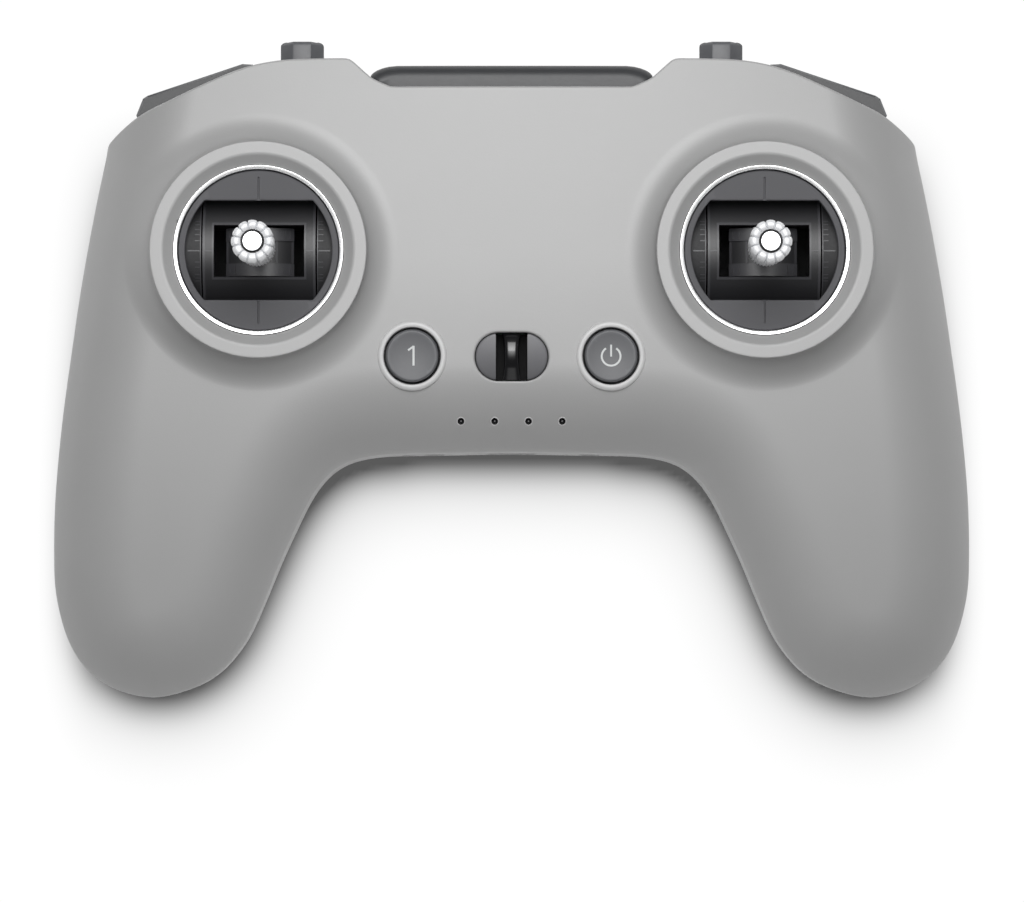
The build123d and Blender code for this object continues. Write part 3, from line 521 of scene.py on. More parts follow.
def at_s(s, loop):
    """Points of a rim loop, and rim normals, at arc lengths s."""
    k = np.clip(np.searchsorted(RIM_S, s, side="right") - 1, 0, COUNT - 1)
    t = ((s - RIM_S[k]) / (RIM_S[k + 1] - RIM_S[k]))[:, None]
    n = RIM_N[k % COUNT] * (1 - t) + RIM_N[(k + 1) % COUNT] * t
    n /= np.hypot(n[:, 0], n[:, 1])[:, None]
    return loop[k % COUNT] * (1 - t) + loop[(k + 1) % COUNT] * t, n


def add_wall(skin, low, high, slots, loop, sign):
    polygon = [(RIM_S[i], z) for i, z in low] + [(RIM_S[i], z) for i, z in high][::-1]
    v, faces = triangulate([polygon] + slots, [])
    points, n = at_s(v[:, 0], loop)
    normals = np.column_stack([n * sign, np.zeros(len(n))])
    skin.add(np.column_stack([points, v[:, 1]]), faces, normals, flip=sign < 0)


def pierce(loop, chosen):
    """An (x, z) loop carried to (arc length, z) on the chosen part of the rim."""
    near = sorted(np.flatnonzero(chosen), key=lambda i: RIM[i][0])
    return [(float(np.interp(x, RIM[near, 0], RIM_S[near])), z) for x, z in loop]


def surface_normals(surface, v, sign):
    x, y = v.T
    e = 0.05
    slope_x = (surface(x + e, y) - surface(x - e, y)) / (2 * e)
    slope_y = (surface(x, y + e) - surface(x, y - e)) / (2 * e)
    n = np.column_stack([-slope_x, -slope_y, np.ones(len(v))]) * sign
    return n / np.linalg.norm(n, axis=1)[:, None]


def rim_points(insets):
    out = []
    for d in insets:
        loop = RIM - d * RIM_N
        out.append(loop[OUTLINE.query(*loop.T)[0] > d - 0.03 - 0.01 * d])
    return np.vstack(out)


def grid_points(gap, margin):
    """Staggered grid at least margin inside the outline."""
    x, y = np.meshgrid(np.arange(-82, 82.01, gap), np.arange(-58.5, 55, gap * 0.9))
    x[1::2] += gap / 2
    p = np.column_stack([x.ravel(), y.ravel()])
    return p[OUTLINE.query(*p.T)[0] > margin]


OUTER_INSETS = [0.015, 0.06, 0.14, 0.25, 0.4, 0.58, 0.8, 1.06, 1.36, 1.7, 2.1, 2.6, 3.2, 3.9, 4.7]
INNER_INSETS = [2.26, 2.4, 2.6, 2.9, 3.3, 3.8, 4.5, 5.4]


# ------------------------------------------------------------------ materials
def srgb(rgb):
    return tuple(v / 12.92 if v <= 0.04045 else ((v + 0.055) / 1.055) ** 2.4
                 for v in [c / 255 for c in rgb])


def new_material(name):
    material = bpy.data.materials.new(name)
    material.use_nodes = True
    tree = material.node_tree
    return material, tree, tree.nodes["Principled BSDF"]


def node(tree, kind, values=None, links=None, **settings):
    made = tree.nodes.new(kind)
    for key, value in settings.items():
        setattr(made, key, value)
    for key, value in (values or {}).items():
        made.inputs[key].default_value = value
    for key, socket in (links or {}).items():
        tree.links.new(socket, made.inputs[key])
    return made


def math_node(tree, operation, source, operand=None):
    values = {} if operand is None else {1: operand}
    return node(tree, "ShaderNodeMath", values, {0: source}, operation=operation).outputs[0]


def ramp_node(tree, source, positions, colours=None):
    made = node(tree, "ShaderNodeValToRGB", links={"Fac": source})
    for element, position in zip(made.color_ramp.elements, positions):
        element.position = position
    for element, colour in zip(made.color_ramp.elements, colours or ()):
        element.color = (*colour, 1)
    return made.outputs["Color"]


def tints(base, vary):
    """A darker and a lighter version of the base colour."""
    return [[v * (1 - vary) for v in base], [v * (1 + vary) for v in base]]


def roughness_and_bump(tree, shader, pattern, rough, spread, bump, depth):
    """One pattern drives the roughness, rough +/- spread, and a fine bump."""
    span = node(tree, "ShaderNodeMapRange",
                {"To Min": rough - spread, "To Max": rough + spread}, {"Value": pattern})
    tree.links.new(span.outputs["Result"], shader.inputs["Roughness"])
    relief = node(tree, "ShaderNodeBump", {"Strength": bump, "Distance": depth},
                  {"Height": pattern})
    tree.links.new(relief.outputs["Normal"], shader.inputs["Normal"])


def plastic(name, rgb, rough=0.5, grain=2600, bump=0.25, vary=0.05, spec=0.5, metal=0.0,
            coat=0.0, edge_highlight=0.0, rough_vary=0.08, cloud=60):
    """Moulded or metal surface.

    grain is the scale of the fine pattern, cloud that of the colour drift, vary its strength;
    the edge-lightening amount lightens convex edges, a painted highlight along them.
    """
    material, tree, shader = new_material(name)
    base = srgb(rgb)
    place = node(tree, "ShaderNodeTexCoord").outputs["Object"]
    drift = node(tree, "ShaderNodeTexNoise", {"Scale": cloud, "Detail": 3.0}, {"Vector": place})
    colour = ramp_node(tree, drift.outputs["Fac"], (0.3, 0.7), tints(base, vary))
    fine = node(tree, "ShaderNodeTexNoise", {"Scale": grain, "Detail": 2.0, "Roughness": 0.6},
                {"Vector": place})
    # convex edges lightened through Pointiness: a painted highlight along the edges
    if edge_highlight > 0:
        geometry = node(tree, "ShaderNodeNewGeometry")
        edge = ramp_node(tree, geometry.outputs["Pointiness"], (0.515, 0.56))
        amount = math_node(tree, "MULTIPLY", edge, edge_highlight)
        edge_highlight_colour = (*[v * 1.5 + 0.02 for v in base], 1)
        colour = node(tree, "ShaderNodeMix", {7: edge_highlight_colour}, {"Factor": amount, 6: colour},
                      data_type="RGBA").outputs[2]
    tree.links.new(colour, shader.inputs["Base Color"])
    roughness_and_bump(tree, shader, fine.outputs["Fac"], rough=rough, spread=rough_vary,
                       bump=bump, depth=0.00004)
    shader.inputs["Metallic"].default_value = metal
    shader.inputs["Specular IOR Level"].default_value = spec
    shader.inputs["Coat Weight"].default_value = coat
    return material


def turned(name, rgb, rough, ring_scale):
    """Lathe-turned metal: fine rings round the vertical axis of either gimbal."""
    material, tree, shader = new_material(name)
    place = node(tree, "ShaderNodeTexCoord").outputs["Object"]
    axes = node(tree, "ShaderNodeSeparateXYZ", links={0: place}).outputs
    both_sides = math_node(tree, "ABSOLUTE", axes["X"])
    dx = math_node(tree, "SUBTRACT", both_sides, GIMBAL_X / 1000)
    dy = math_node(tree, "SUBTRACT", axes["Y"], GIMBAL_Y / 1000)
    offset = node(tree, "ShaderNodeCombineXYZ", links={"X": dx, "Y": dy})
    radius = node(tree, "ShaderNodeVectorMath", links={0: offset.outputs[0]}, operation="LENGTH")
    scaled = math_node(tree, "MULTIPLY", radius.outputs["Value"], ring_scale)
    noise = node(tree, "ShaderNodeTexNoise", {"Scale": 1.0, "Detail": 3.0}, {"W": scaled},
                 noise_dimensions="1D").outputs["Fac"]
    colour = ramp_node(tree, noise, (0.0, 1.0), tints(srgb(rgb), 0.03))
    tree.links.new(colour, shader.inputs["Base Color"])
    roughness_and_bump(tree, shader, noise, rough=rough, spread=0.1, bump=0.12, depth=0.00003)
    shader.inputs["Metallic"].default_value = 1.0
    return material


MATS = {
    "shell": plastic("shell_grey_plastic", (161, 161, 161), rough=0.44, grain=3000, bump=0.3,
                     vary=0.012, spec=0.9, rough_vary=0.05),
    "dark": plastic("dark_satin_plastic", (62, 63, 66), rough=0.42, grain=3200, bump=0.3,
                    edge_highlight=0.25),
    "cover": plastic("gimbal_cover_plastic", (84, 84, 87), grain=3400, bump=0.35, vary=0.03,
                     edge_highlight=0.2, spec=0.22),
    "toggle": plastic("toggle_plastic", (88, 89, 92), rough=0.4, grain=3200, vary=0.04, edge_highlight=0.2),
    "drum": plastic("drum_plastic", (40, 40, 42), rough=0.38, grain=3000, bump=0.2, vary=0.06),
    "frame": plastic("frame_plastic", (34, 34, 36), rough=0.6, grain=2400, bump=0.3, vary=0.08),
    # near-black plastic: painted shade in the deep lanyard slot
    "slot_shade": plastic("slot_painted_shade", (17, 17, 18), rough=0.55, spec=0.12, grain=2400,
                   bump=0.3, vary=0.08),
    "gloss": plastic("gloss_black_plastic", (16, 16, 18), rough=0.12, grain=1500, bump=0.02,
                     vary=0.1, coat=0.4, rough_vary=0.03),
    "button": plastic("button_plastic", (92, 93, 96), rough=0.45, grain=3400, vary=0.03,
                      edge_highlight=0.2),
    "glyph": plastic("white_print", (206, 208, 208), rough=0.55, grain=3000, bump=0.1,
                     vary=0.03),
    "trim": turned("bright_trim_metal", (250, 250, 250), rough=0.2, ring_scale=5200),
    "stick": turned("stick_aluminium", (236, 237, 239), rough=0.3, ring_scale=6000),
    "steel": plastic("plain_steel", (176, 176, 178), rough=0.3, grain=2000, bump=0.1,
                     vary=0.08, metal=1.0),
    "tin": plastic("tinned_sheet", (190, 190, 192), rough=0.35, grain=900, bump=0.15,
                   vary=0.1, metal=1.0),
    "pcb": plastic("board_green", (24, 92, 58), rough=0.3, grain=1200, bump=0.12, vary=0.22,
                   coat=0.3, cloud=900),
    "chip": plastic("chip_black", (26, 26, 28), rough=0.55, bump=0.2, vary=0.08),
    "wrap": plastic("battery_wrap", (26, 42, 82), rough=0.25, grain=500, bump=0.12, vary=0.1,
                    coat=0.3),
    "rubber": plastic("rubber_black", (30, 30, 31), rough=0.75, grain=1800, bump=0.4, vary=0.1),
    # a lighter copy of the shell plastic: painted highlight on the key rims and light-hole lips
    "rim": plastic("shell_plastic_painted_highlight", (196, 196, 196), rough=0.44, grain=3000, bump=0.3,
                   vary=0.012, spec=0.9, rough_vary=0.05),
    "petal": plastic("knob_petal_metal", (232, 233, 235), rough=0.42, bump=0.1, vary=0.03,
                     metal=0.2),
    "bezel": plastic("bezel_black_plastic", (36, 37, 39), rough=0.4, grain=3200, bump=0.3,
                     edge_highlight=0.3),
    # a lighter copy of the drum plastic: painted highlight on raised lips, ridges and marks
    "drum_painted_highlight": plastic("drum_plastic_painted_highlight", (62, 62, 65), rough=0.34, grain=3000, bump=0.15,
                       vary=0.06),
    "lobe": plastic("lanyard_dish_plastic", (118, 118, 121), rough=0.42, grain=3200, bump=0.2,
                    vary=0.04),
    "antenna": plastic("antenna_cover_plastic", (54, 55, 57), rough=0.42, grain=3000, vary=0.04),
    "pipe": plastic("light_pipe_dark", (18, 18, 20), rough=0.14, grain=1500, bump=0.02,
                    vary=0.1, coat=0.4, rough_vary=0.03),
    "lens": plastic("light_guide_clear", (52, 54, 57), rough=0.15, grain=1500, bump=0.03,
                    coat=0.3),
}


# ------------------------------------------------------------------ the two shells
def build_shell(node_name, side, outer, inner, holes, points, inner_points, slots, opening_z):
    """Closed shell between two skins; side is +1 for the front and -1 for the rear.

    holes pierce both skins as (x, y) loops, slots pierce the walls as (arc length, z) loops.
    """
    toward_part, from_part = (np.minimum, np.maximum)[::side]
    skin = Sheets()
    v, faces = triangulate([RIM] + holes, points)
    z = outer(*v.T)
    normals = surface_normals(outer, v, side)
    normals[:COUNT] = np.column_stack([RIM_N, np.full(COUNT, 0.02 * side)])
    skin.add(np.column_stack([v, z]), faces, normals, flip=side < 0)
    edge_z = z[:COUNT]
    outer_part = parting_path(
        toward_part(RIM_PART_Z + 0.1 * side, edge_z - 0.02 * side), opening_z)
    add_wall(skin, *(outer_part, skin_path(edge_z))[::side], slots, RIM, 1)

    v, faces = triangulate([INNER[DISTINCT]] + holes, inner_points)
    z = inner(*v.T)
    edge_z = from_part(inner(*INNER.T), parting_z(INNER[:, 1]) + 0.4 * side)
    z[:DISTINCT.sum()] = edge_z[DISTINCT]
    normals = surface_normals(inner, v, -side)
    skin.add(np.column_stack([v, z]), faces, normals, flip=side > 0)
    inner_part = parting_path(
        toward_part(RIM_PART_Z + 0.03 * side, edge_z - 0.1 * side), opening_z)
    add_wall(skin, *(inner_part, skin_path(edge_z))[::side], slots, INNER, -1)

    # parting face with a small chamfer
    outer_loop, chamfer, inner_loop = (
        np.array([(*loop[i % COUNT], z) for i, z in path[:-1]])
        for path, loop in ((outer_part, RIM), (inner_part, RIM - 0.08 * RIM_N),
                           (inner_part, INNER)))
    skin.bridge(outer_loop, chamfer, flip=side > 0)
    skin.bridge(chamfer, inner_loop, flip=side > 0)
    for slot in slots:
        s, z = np.array(slot).T
        ends = [np.column_stack([at_s(s, loop)[0], z]) for loop in (RIM, INNER)]
        skin.bridge(*ends, flip=True)
    for hole in holes:
        n = hole.mean(0) - hole
        n = np.column_stack([n / np.hypot(n[:, 0], n[:, 1])[:, None], np.zeros(len(hole))])
        ends = [np.column_stack([hole, surface(*hole.T)]) for surface in (outer, inner)]
        skin.bridge(*ends, flip=side < 0, normals=n)
    made = skin.build(f"{node_name}_skin", MATS["shell"])
    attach(made, "housing")
    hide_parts(node_name)


def toggle_slot(sign):
    """Rounded rectangle through the top wall."""
    width, height, r = 8.3, 11.2, 1.6
    loop = []
    for across, up, start in ((1, 1, 0), (-1, 1, 90), (-1, -1, 180), (1, -1, 270)):
        x = sign * TOGGLE_X + across * (width / 2 - r)
        z = TOGGLE_Z + up * (height / 2 - r)
        loop += [(x + r * math.cos(a), z + r * math.sin(a))
                 for a in np.radians(np.linspace(start, start + 90, 7))]
    on_top = (RIM[:, 1] > 54.0) & (np.abs(RIM[:, 0]) < 46) & (RIM[:, 0] * sign > 30)
    return pierce(loop, on_top)


def front_shell():
    boss_radii = [15.5, 16.0, 16.35, CONE_R, FLAT_R, 17.3, 17.9, 18.4, 18.75, LIP_R,
                  19.03, 19.09, 19.14, 19.175, 19.193, FLANK_R]
    boss_radii += [FLANK_R + 5.6 * q for q in (
        0.0015, 0.006, 0.014, 0.026, 0.045, 0.07, 0.105, 0.15, 0.205, 0.27, 0.35, 0.45, 0.57,
        0.71, 0.86, 1.0)]
    key_radii = (5.06, 5.09, 5.13, 5.18, 5.24, 5.45, 5.75, 5.85, 5.95, 6.05, 6.15, 6.25, 6.35,
                 6.45, 6.55, 6.65, 6.75, 6.85, 6.95)
    grid = clear_of(clear_of(grid_points(0.95, 5.3), GIMBALS, 25.3), KEYS, 7.3)
    grid = clear_of(clear_of_lanyard(grid, 1.2), LIGHTS, 1.3)
    inner = np.vstack([rim_points(INNER_INSETS), grid_points(2.2, 6.0)])
    inner = clear_of(clear_of(inner, GIMBALS, 16.0), KEYS, 6.0)
    build_shell(
        "front_shell", 1, front_z, lambda x, y: front_base(x, y, WALL),
        holes=(circles(GIMBALS, [15.1], 168) + circles(KEYS, [KEY_HOLE_R], 72)
               + [stadium(LANYARD_W, LANYARD_H)] + circles(LIGHTS, [LIGHT_HOLE_R], 24)),
        points=np.vstack(
            [rim_points(OUTER_INSETS)] + circles(GIMBALS, boss_radii, 168)
            + circles(KEYS, key_radii, 72)
            + [stadium(LANYARD_W + 2 * e, LANYARD_H + 2 * e)
               for e in (0.03, 0.08, 0.15, 0.25, 0.35, 0.7)]
            + circles(LIGHTS, (0.69, 0.8, 1.0), 24) + [grid]),
        inner_points=clear_of_lanyard(inner, 0.8),
        slots=[toggle_slot(-1), toggle_slot(1)], opening_z=OPENING_TOP)


def rear_shell():
    # openings in the bottom wall: a capsule between two round holes
    z = 16.8
    capsule = [(math.cos(a) * 1.8 + (2.85 if math.cos(a) >= 0 else -2.85), z + 1.8 * math.sin(a))
               for a in np.radians(np.linspace(-90, 270, 33)[:-1])]
    at_bottom = (np.abs(RIM[:, 0]) < 22) & (RIM[:, 1] < 0)
    inner = np.vstack([rim_points(INNER_INSETS), grid_points(2.4, 6.0)])
    build_shell(
        "rear_shell", -1, back_z, lambda x, y: back_base_z(x, y, WALL),
        holes=circles(SCREWS, [SCREW_HOLE_R], 40),
        points=np.vstack(
            [rim_points(OUTER_INSETS)] + circles(SCREWS, (2.3, 2.4, 2.6, 3.0), 40)
            + [clear_of(grid_points(1.2, 5.3), SCREWS, 3.4)]),
        inner_points=clear_of(inner, SCREWS, 2.8),
        slots=[pierce(loop, at_bottom)
               for loop in (capsule, circle(-14.0, z, 1.9, 28), circle(14.0, z, 1.9, 28))],
        opening_z=OPENING_BOTTOM)


front_shell()
rear_shell()


# ------------------------------------------------------------------ solids
# each solid is a pair (vertices, faces)
def part(name, solids, mats, body, smooth, replaced=None, face_mats=None):
    """One mesh from closed solids; smooth is the angle above which edges stay sharp."""
    verts, faces, count = [], [], 0
    for solid_verts, solid_faces in solids:
        verts.append(solid_verts)
        faces += [[i + count for i in face] for face in solid_faces]
        count += len(solid_verts)
    mesh = bpy.data.meshes.new(name)
    mesh.from_pydata([tuple(p) for p in np.vstack(verts) * MM], [], faces)
    for key in mats:
        mesh.materials.append(MATS[key])
    mesh.polygons.foreach_set("material_index", face_mats or [0] * len(faces))
    bm = bmesh.new()
    bm.from_mesh(mesh)
    bmesh.ops.remove_doubles(bm, verts=bm.verts, dist=1e-7)
    bmesh.ops.recalc_face_normals(bm, faces=bm.faces)
    bm.to_mesh(mesh)
    bm.free()
    for polygon in mesh.polygons:
        polygon.use_smooth = True
    mesh.set_sharp_from_angle(angle=math.radians(smooth))
    made = link_object(name, mesh)
    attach(made, body)
    if replaced:
        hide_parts(replaced)


def loft(levels, closed=False):
    """Quads between successive loops of equal length; the ends are capped unless closed."""
    n, k = len(levels[0]), len(levels)
    faces = []
    for j in range(k if closed else k - 1):
        a, b = j * n, ((j + 1) % k) * n
        faces += [(a + i, a + (i + 1) % n, b + (i + 1) % n, b + i) for i in range(n)]
    if not closed:
        faces += [tuple(range(n))[::-1], tuple((k - 1) * n + i for i in range(n))]
    return np.vstack(levels), faces


def lathe(profile, count, cx, cy, ring=False, shape=None):
    """Revolve (r, z) pairs about a vertical axis; shape(level, r, z, angles) may move them."""
    a = np.linspace(0, 2 * np.pi, count, endpoint=False)
    levels = []
    for level, (radius, height) in enumerate(profile):
        r, z = np.full(count, float(radius)), np.full(count, float(height))
        if shape:
            r, z = shape(level, r, z, a)
        levels.append(np.column_stack([cx + r * np.cos(a), cy + r * np.sin(a), z]))
    return loft(levels, ring)


def bent_block(axis, cx, radii, degrees, widths, steps):
    """A block bent round a gimbal axis: degrees from straight up, widths along the axis."""
    (r0, r1), (w0, w1) = radii, widths
    levels = []
    for a in np.radians(np.linspace(*degrees, steps + 1)):
        loop = []
        for r, w in ((r0, w0), (r1, w0), (r1, w1), (r0, w1)):
            across, up = r * math.sin(a), r * math.cos(a)
            dx, dy = (w, across) if axis == "x" else (across, w)
            loop.append((cx + dx, GIMBAL_Y + dy, GIMBAL_AXIS_Z + up))
        levels.append(np.array(loop))
    return loft(levels)


def offset_loop(p, d):
    """Inset a convex or gently curved closed loop by d."""
    a, b = np.roll(p, 1, 0), np.roll(p, -1, 0)
    e1, e2 = p - a, b - p
    e1 = e1 / (np.hypot(e1[:, 0], e1[:, 1])[:, None] + 1e-12)
    e2 = e2 / (np.hypot(e2[:, 0], e2[:, 1])[:, None] + 1e-12)
    mitre = np.column_stack([-e1[:, 1], e1[:, 0]]) + np.column_stack([-e2[:, 1], e2[:, 0]])
    mitre = mitre / np.maximum((mitre * mitre).sum(1), 0.4)[:, None] * 2
    area = np.sum(p[:, 0] * b[:, 1] - b[:, 0] * p[:, 1])
    return p + mitre * d * (1 if area > 0 else -1)


def pillow(loop, z0, z1, r, steps, inset=offset_loop):
    """Prism with rounded bottom and top edges; inset(loop, distance) draws the loop in."""
    turns = [math.radians(90 * k / steps) for k in range(steps + 1)]
    bottom = [(r * (1 - math.sin(a)), z0 + r * (1 - math.cos(a))) for a in turns]
    top = [(r * (1 - math.cos(a)), z1 - r * (1 - math.sin(a))) for a in turns]
    return loft([np.column_stack([inset(loop, d), np.full(len(loop), z)])
                 for d, z in bottom + top])


def plate(outer, holes, points, top_z, bottom_z):
    """A triangulated top sheet over a flat underside, walls between."""
    v, f = triangulate([outer] + holes, points)
    n = len(v)
    verts = np.vstack([np.column_stack([v, top_z(*v.T)]),
                       np.column_stack([v, np.full(n, bottom_z)])])
    faces = [tuple(t) for t in f] + [tuple(i + n for i in t)[::-1] for t in f]
    edges = [(int(t[i]), int(t[(i + 1) % 3])) for t in f for i in range(3)]
    known = set(edges)
    faces += [(b, a, a + n, b + n) for a, b in edges if (b, a) not in known]
    return verts, faces


def span(sign, near, far):
    """Low and high ends of near..far on the given side of zero."""
    return tuple(sorted((sign * near, sign * far)))


# ------------------------------------------------------------------ gimbal parts
def trim_ring(side, cx):
    profile = [
        (14.28, 38.6), (14.28, 40.6), (14.3, 40.67), (14.35, 40.715), (14.43, 40.74),
        (14.9, 40.865), (14.96, 40.87), (15.0, 40.82), (15.02, 40.72), (15.02, 38.6),
    ]
    part(f"trim_ring_{side}_v", [lathe(profile, 128, cx, GIMBAL_Y, ring=True)], ["trim"],
         "housing", 60, f"trim_ring_{side}")


def gimbal_cover(side, cx):
    """Round plate with a flat-sided round window and engraved centre lines."""
    plate_r, window_r, window_half = 14.16, 13.0, 8.8
    centre = np.array([cx, GIMBAL_Y])
    corner = math.asin(window_half / window_r)
    flat = window_r * math.cos(corner)
    window = []
    for sign in (1, -1):
        for a in np.linspace(-corner, corner, 25) + (0 if sign > 0 else math.pi):
            window.append((cx + window_r * math.cos(a), GIMBAL_Y + window_r * math.sin(a)))
        for x in np.linspace(flat, -flat, 24)[1:-1]:
            window.append((cx + sign * x, GIMBAL_Y + sign * window_half))
    window = np.array(window)
    points = circles([centre], (14.12, 14.05, 13.95, 13.8), 128)
    for gap in (0.05, 0.12, 0.2, 0.35):
        loop = offset_loop(window, -gap)
        points.append(loop[np.hypot(*(loop - centre).T) < 13.7])
    line_y = np.linspace(9.2, 13.2, 34)
    grid = lattice(np.linspace(-8.5, 8.5, 24), np.linspace(9.4, 13, 7))
    grid = grid[(np.hypot(grid[:, 0], grid[:, 1]) < 13.6) & (np.abs(grid[:, 0]) > 0.7)]
    for sign in (1, -1):
        for x in (0.0, 0.07, -0.07, 0.12, -0.12, 0.17, -0.17, 0.24, -0.24, 0.5, -0.5):
            points.append(np.column_stack([np.full(34, cx + x), GIMBAL_Y + sign * line_y]))
        points.append(grid * [1, sign] + centre)

    def top_z(x, y):
        r = np.hypot(x - cx, y - GIMBAL_Y)
        dy = np.abs(y - GIMBAL_Y)
        z = 39.98 - 0.16 * (1 - quarter((plate_r - r) / 0.16))
        from_window = np.maximum(np.where(dy > window_half, (dy - window_half) / 0.2, 0),
                                 np.clip((r - window_r) / 0.2, 0, 1))
        z = z - 0.14 * (1 - quarter(from_window))
        # the upper line is shallower near the window
        depth = np.where(dy > 10.0, 1.0, np.where(y < GIMBAL_Y, 1.0, 0.45))
        line = np.clip(1 - (np.abs(x - cx) - 0.08) / 0.09, 0, 1) * (dy < 12.95) * depth
        return z - 0.26 * line

    solid = plate(circle(cx, GIMBAL_Y, plate_r, 128), [window], np.vstack(points), top_z, 38.55)
    part(f"gimbal_cover_{side}_v", [solid], ["cover"], "housing", 40,
         f"gimbal_cover_{side}")


def cheek_marks(side, cx):
    """Scale marks, a centre mark and a low step on the fixed cheeks."""
    solids = []
    for sign in (-1, 1):
        for y in (5.3, 4.7, 3.8, 2.9, 1.8, -2.0, -2.9, -4.2, -4.8, -5.3):
            a = math.degrees(math.asin(y / 12.8))
            solids.append(bent_block("x", cx, (12.6, 12.8), (a - 0.35, a + 0.35),
                                     span(sign, 10.5, 11.35), 1))
        solids += [
            bent_block("x", cx, (12.6, 12.84), (-0.5, 0.5), span(sign, 10.5, 12.6), 1),
            bent_block("x", cx, (12.6, 12.78), (-42, 42), span(sign, 10.27, 10.45), 20),
        ]
    # the lighter drum plastic here paints the highlight on the raised marks
    part(f"cheek_marks_{side}", solids, ["drum_painted_highlight"], "housing", 30)


def drum_lip(side, cx):
    """Lip round the drum opening, its centre marks and the ridges at the drum ends."""
    inner, outer = (math.degrees(math.asin(y / 12.9)) for y in (4.6, 5.0))
    solids = []
    for sign in (-1, 1):
        solids += [bent_block("x", cx, radii, degrees, widths, steps)
                   for radii, degrees, widths, steps in (
            ((12.7, 13.06), span(sign, inner, outer), (-8.35, 8.35), 3),
            ((12.7, 13.06), (-inner, inner), span(sign, 8.0, 8.35), 12),
            ((12.7, 12.98), (-0.45, 0.45), span(sign, 8.36, 9.9), 1),
            ((12.7, 12.97), (-58, 58), span(sign, 9.55, 9.97), 28),
        )]
    # the lighter drum plastic here paints the highlight on the lip and ridges
    part(f"drum_lip_{side}", solids, ["drum_painted_highlight"], f"pitch_yoke_{side}", 30)


def carrier_bands(side, cx):
    """Stepped bands and index bars on the inner carrier."""
    solids = []
    for sign in (-1, 1):
        solids.append(bent_block("y", cx, (9.8, 10.32), (-36, 36), span(sign, 2.0, 4.25), 18))
        for a in (-25.2, -32.5, 25.2, 32.5):
            solids.append(bent_block("y", cx, (10.1, 10.5), (a - 0.9, a + 0.9),
                                     span(sign, 2.35, 3.75), 1))
    for a, reach in ((-17, 1.2), (-35, 1.0), (17, 1.2), (35, 1.0)):
        solids.append(bent_block("y", cx, (9.8, 10.2), (a - reach, a + reach), (-1.9, 1.9), 1))
    # the lighter drum plastic here paints the highlight on the bands and bars
    part(f"carrier_bands_{side}", solids, ["drum_painted_highlight"], f"stick_{side}", 30)


def stick_knob(side, cx):
    """Knurled sleeve and a crown of twelve petals round a flat centre."""
    profile = [
        (2.6, 45.5), (3.05, 45.55), (3.3, 45.85), (3.3, 56.7), (3.1, 57.25), (3.1, 57.55),
        (3.5, 57.75), (3.72, 58.1), (3.74, 58.6), (3.74, 60.9), (3.7, 61.25), (3.58, 61.55),
        (3.38, 61.8), (3.1, 61.93), (2.75, 61.95), (2.4, 61.86), (2.1, 61.7), (2.04, 61.5),
        (2.0, 60.7), (1.74, 60.7), (1.7, 61.9), (1.62, 61.98), (1.4, 62.0), (0.6, 62.0),
    ]
    petals, knurls, segments = 12, 36, 288

    def shape(level, r, z, a):
        in_petal = (a / (2 * np.pi) * petals + 0.5) % 1.0 - 0.5
        off_middle = np.abs(in_petal) * 2
        to_gap = (1 - off_middle) * (np.pi / petals) * 3.0
        groove = np.exp(-(to_gap / 0.085) ** 2)
        if 2 <= level <= 3:
            in_knurl = (a / (2 * np.pi) * knurls) % 1.0
            r = r - 0.14 * (np.abs(in_knurl - 0.5) < 0.2)
        if 6 <= level <= 16:
            outward = np.clip((r - 1.9) / 1.84, 0, 1)
            r = r - outward * (0.2 * off_middle ** 3 + 0.22 * groove)
            if level >= 9:
                z = z - (0.4 * groove + 0.08 * off_middle ** 2)
        return r, z

    # material of each band from the bottom up, then of the bottom and top caps
    bands = [0] * 18 + [1] * 2 + [2] * 3
    face_mats = [band for band in bands for _ in range(segments)] + [0, 2]
    part(f"stick_knob_{side}_v", [lathe(profile, segments, cx, GIMBAL_Y, shape=shape)],
         ["petal", "frame", "stick"], f"stick_{side}", 38, f"stick_knob_{side}",
         face_mats)


# ------------------------------------------------------------------ keys
def dish(r):
    """Height of the dished key face."""
    return 37.72 + 0.40 * (r / 4.15) ** 2


def key_cap(name, cx):
    profile = [
        (0.2, 31.2), (5.5, 31.2), (5.55, 31.25), (5.55, 32.1), (5.5, 32.15), (4.66, 32.15),
        (4.65, 32.2), (4.65, 37.72), (4.61, 37.86), (4.5, 37.99), (4.36, 38.1), (4.25, 38.12),
    ]
    profile += [(r, dish(r)) for r in (4.15, 3.8, 3.3, 2.7, 2.0, 1.3, 0.6, 0.15)]
    part(f"{name}_button_v", [lathe(profile, 96, cx, KEY_Y)], ["button"], f"{name}_key",
         24, f"{name}_button")


def key_rim(name, cx):
    """Soft raised rim of the shell round the key, heights above the face; a lighter copy of the
    shell plastic paints its highlight.
    """
    profile = [
        (5.06, -0.9), (5.06, 0.12), (5.1, 0.22), (5.18, 0.29), (5.3, 0.33), (5.5, 0.35),
        (5.72, 0.33), (5.9, 0.26), (6.05, 0.14), (6.14, 0.0), (6.2, -0.2), (6.2, -0.9),
    ]

    def follow(_, r, z, a):
        return r, z + face_z(cx + r * np.cos(a), KEY_Y + r * np.sin(a))
    part(f"{name}_rim", [lathe(profile, 96, cx, KEY_Y, ring=True, shape=follow)], ["rim"],
         "housing", 50)


def stroke(cx, path, width):
    """A raised printed stroke following the dished face."""
    p = np.array(path, float)
    along = np.gradient(p, axis=0)
    along /= np.hypot(along[:, 0], along[:, 1])[:, None]
    across = np.column_stack([-along[:, 1], along[:, 0]]) * width / 2
    levels = []
    for a, b in zip(p - across, p + across):
        levels.append(np.array([
            (cx + q[0], KEY_Y + q[1], dish(np.hypot(*q)) + lift)
            for q, lift in ((a, -0.06), (b, -0.06), (b, 0.03), (a, 0.03))]))
    return loft(levels)


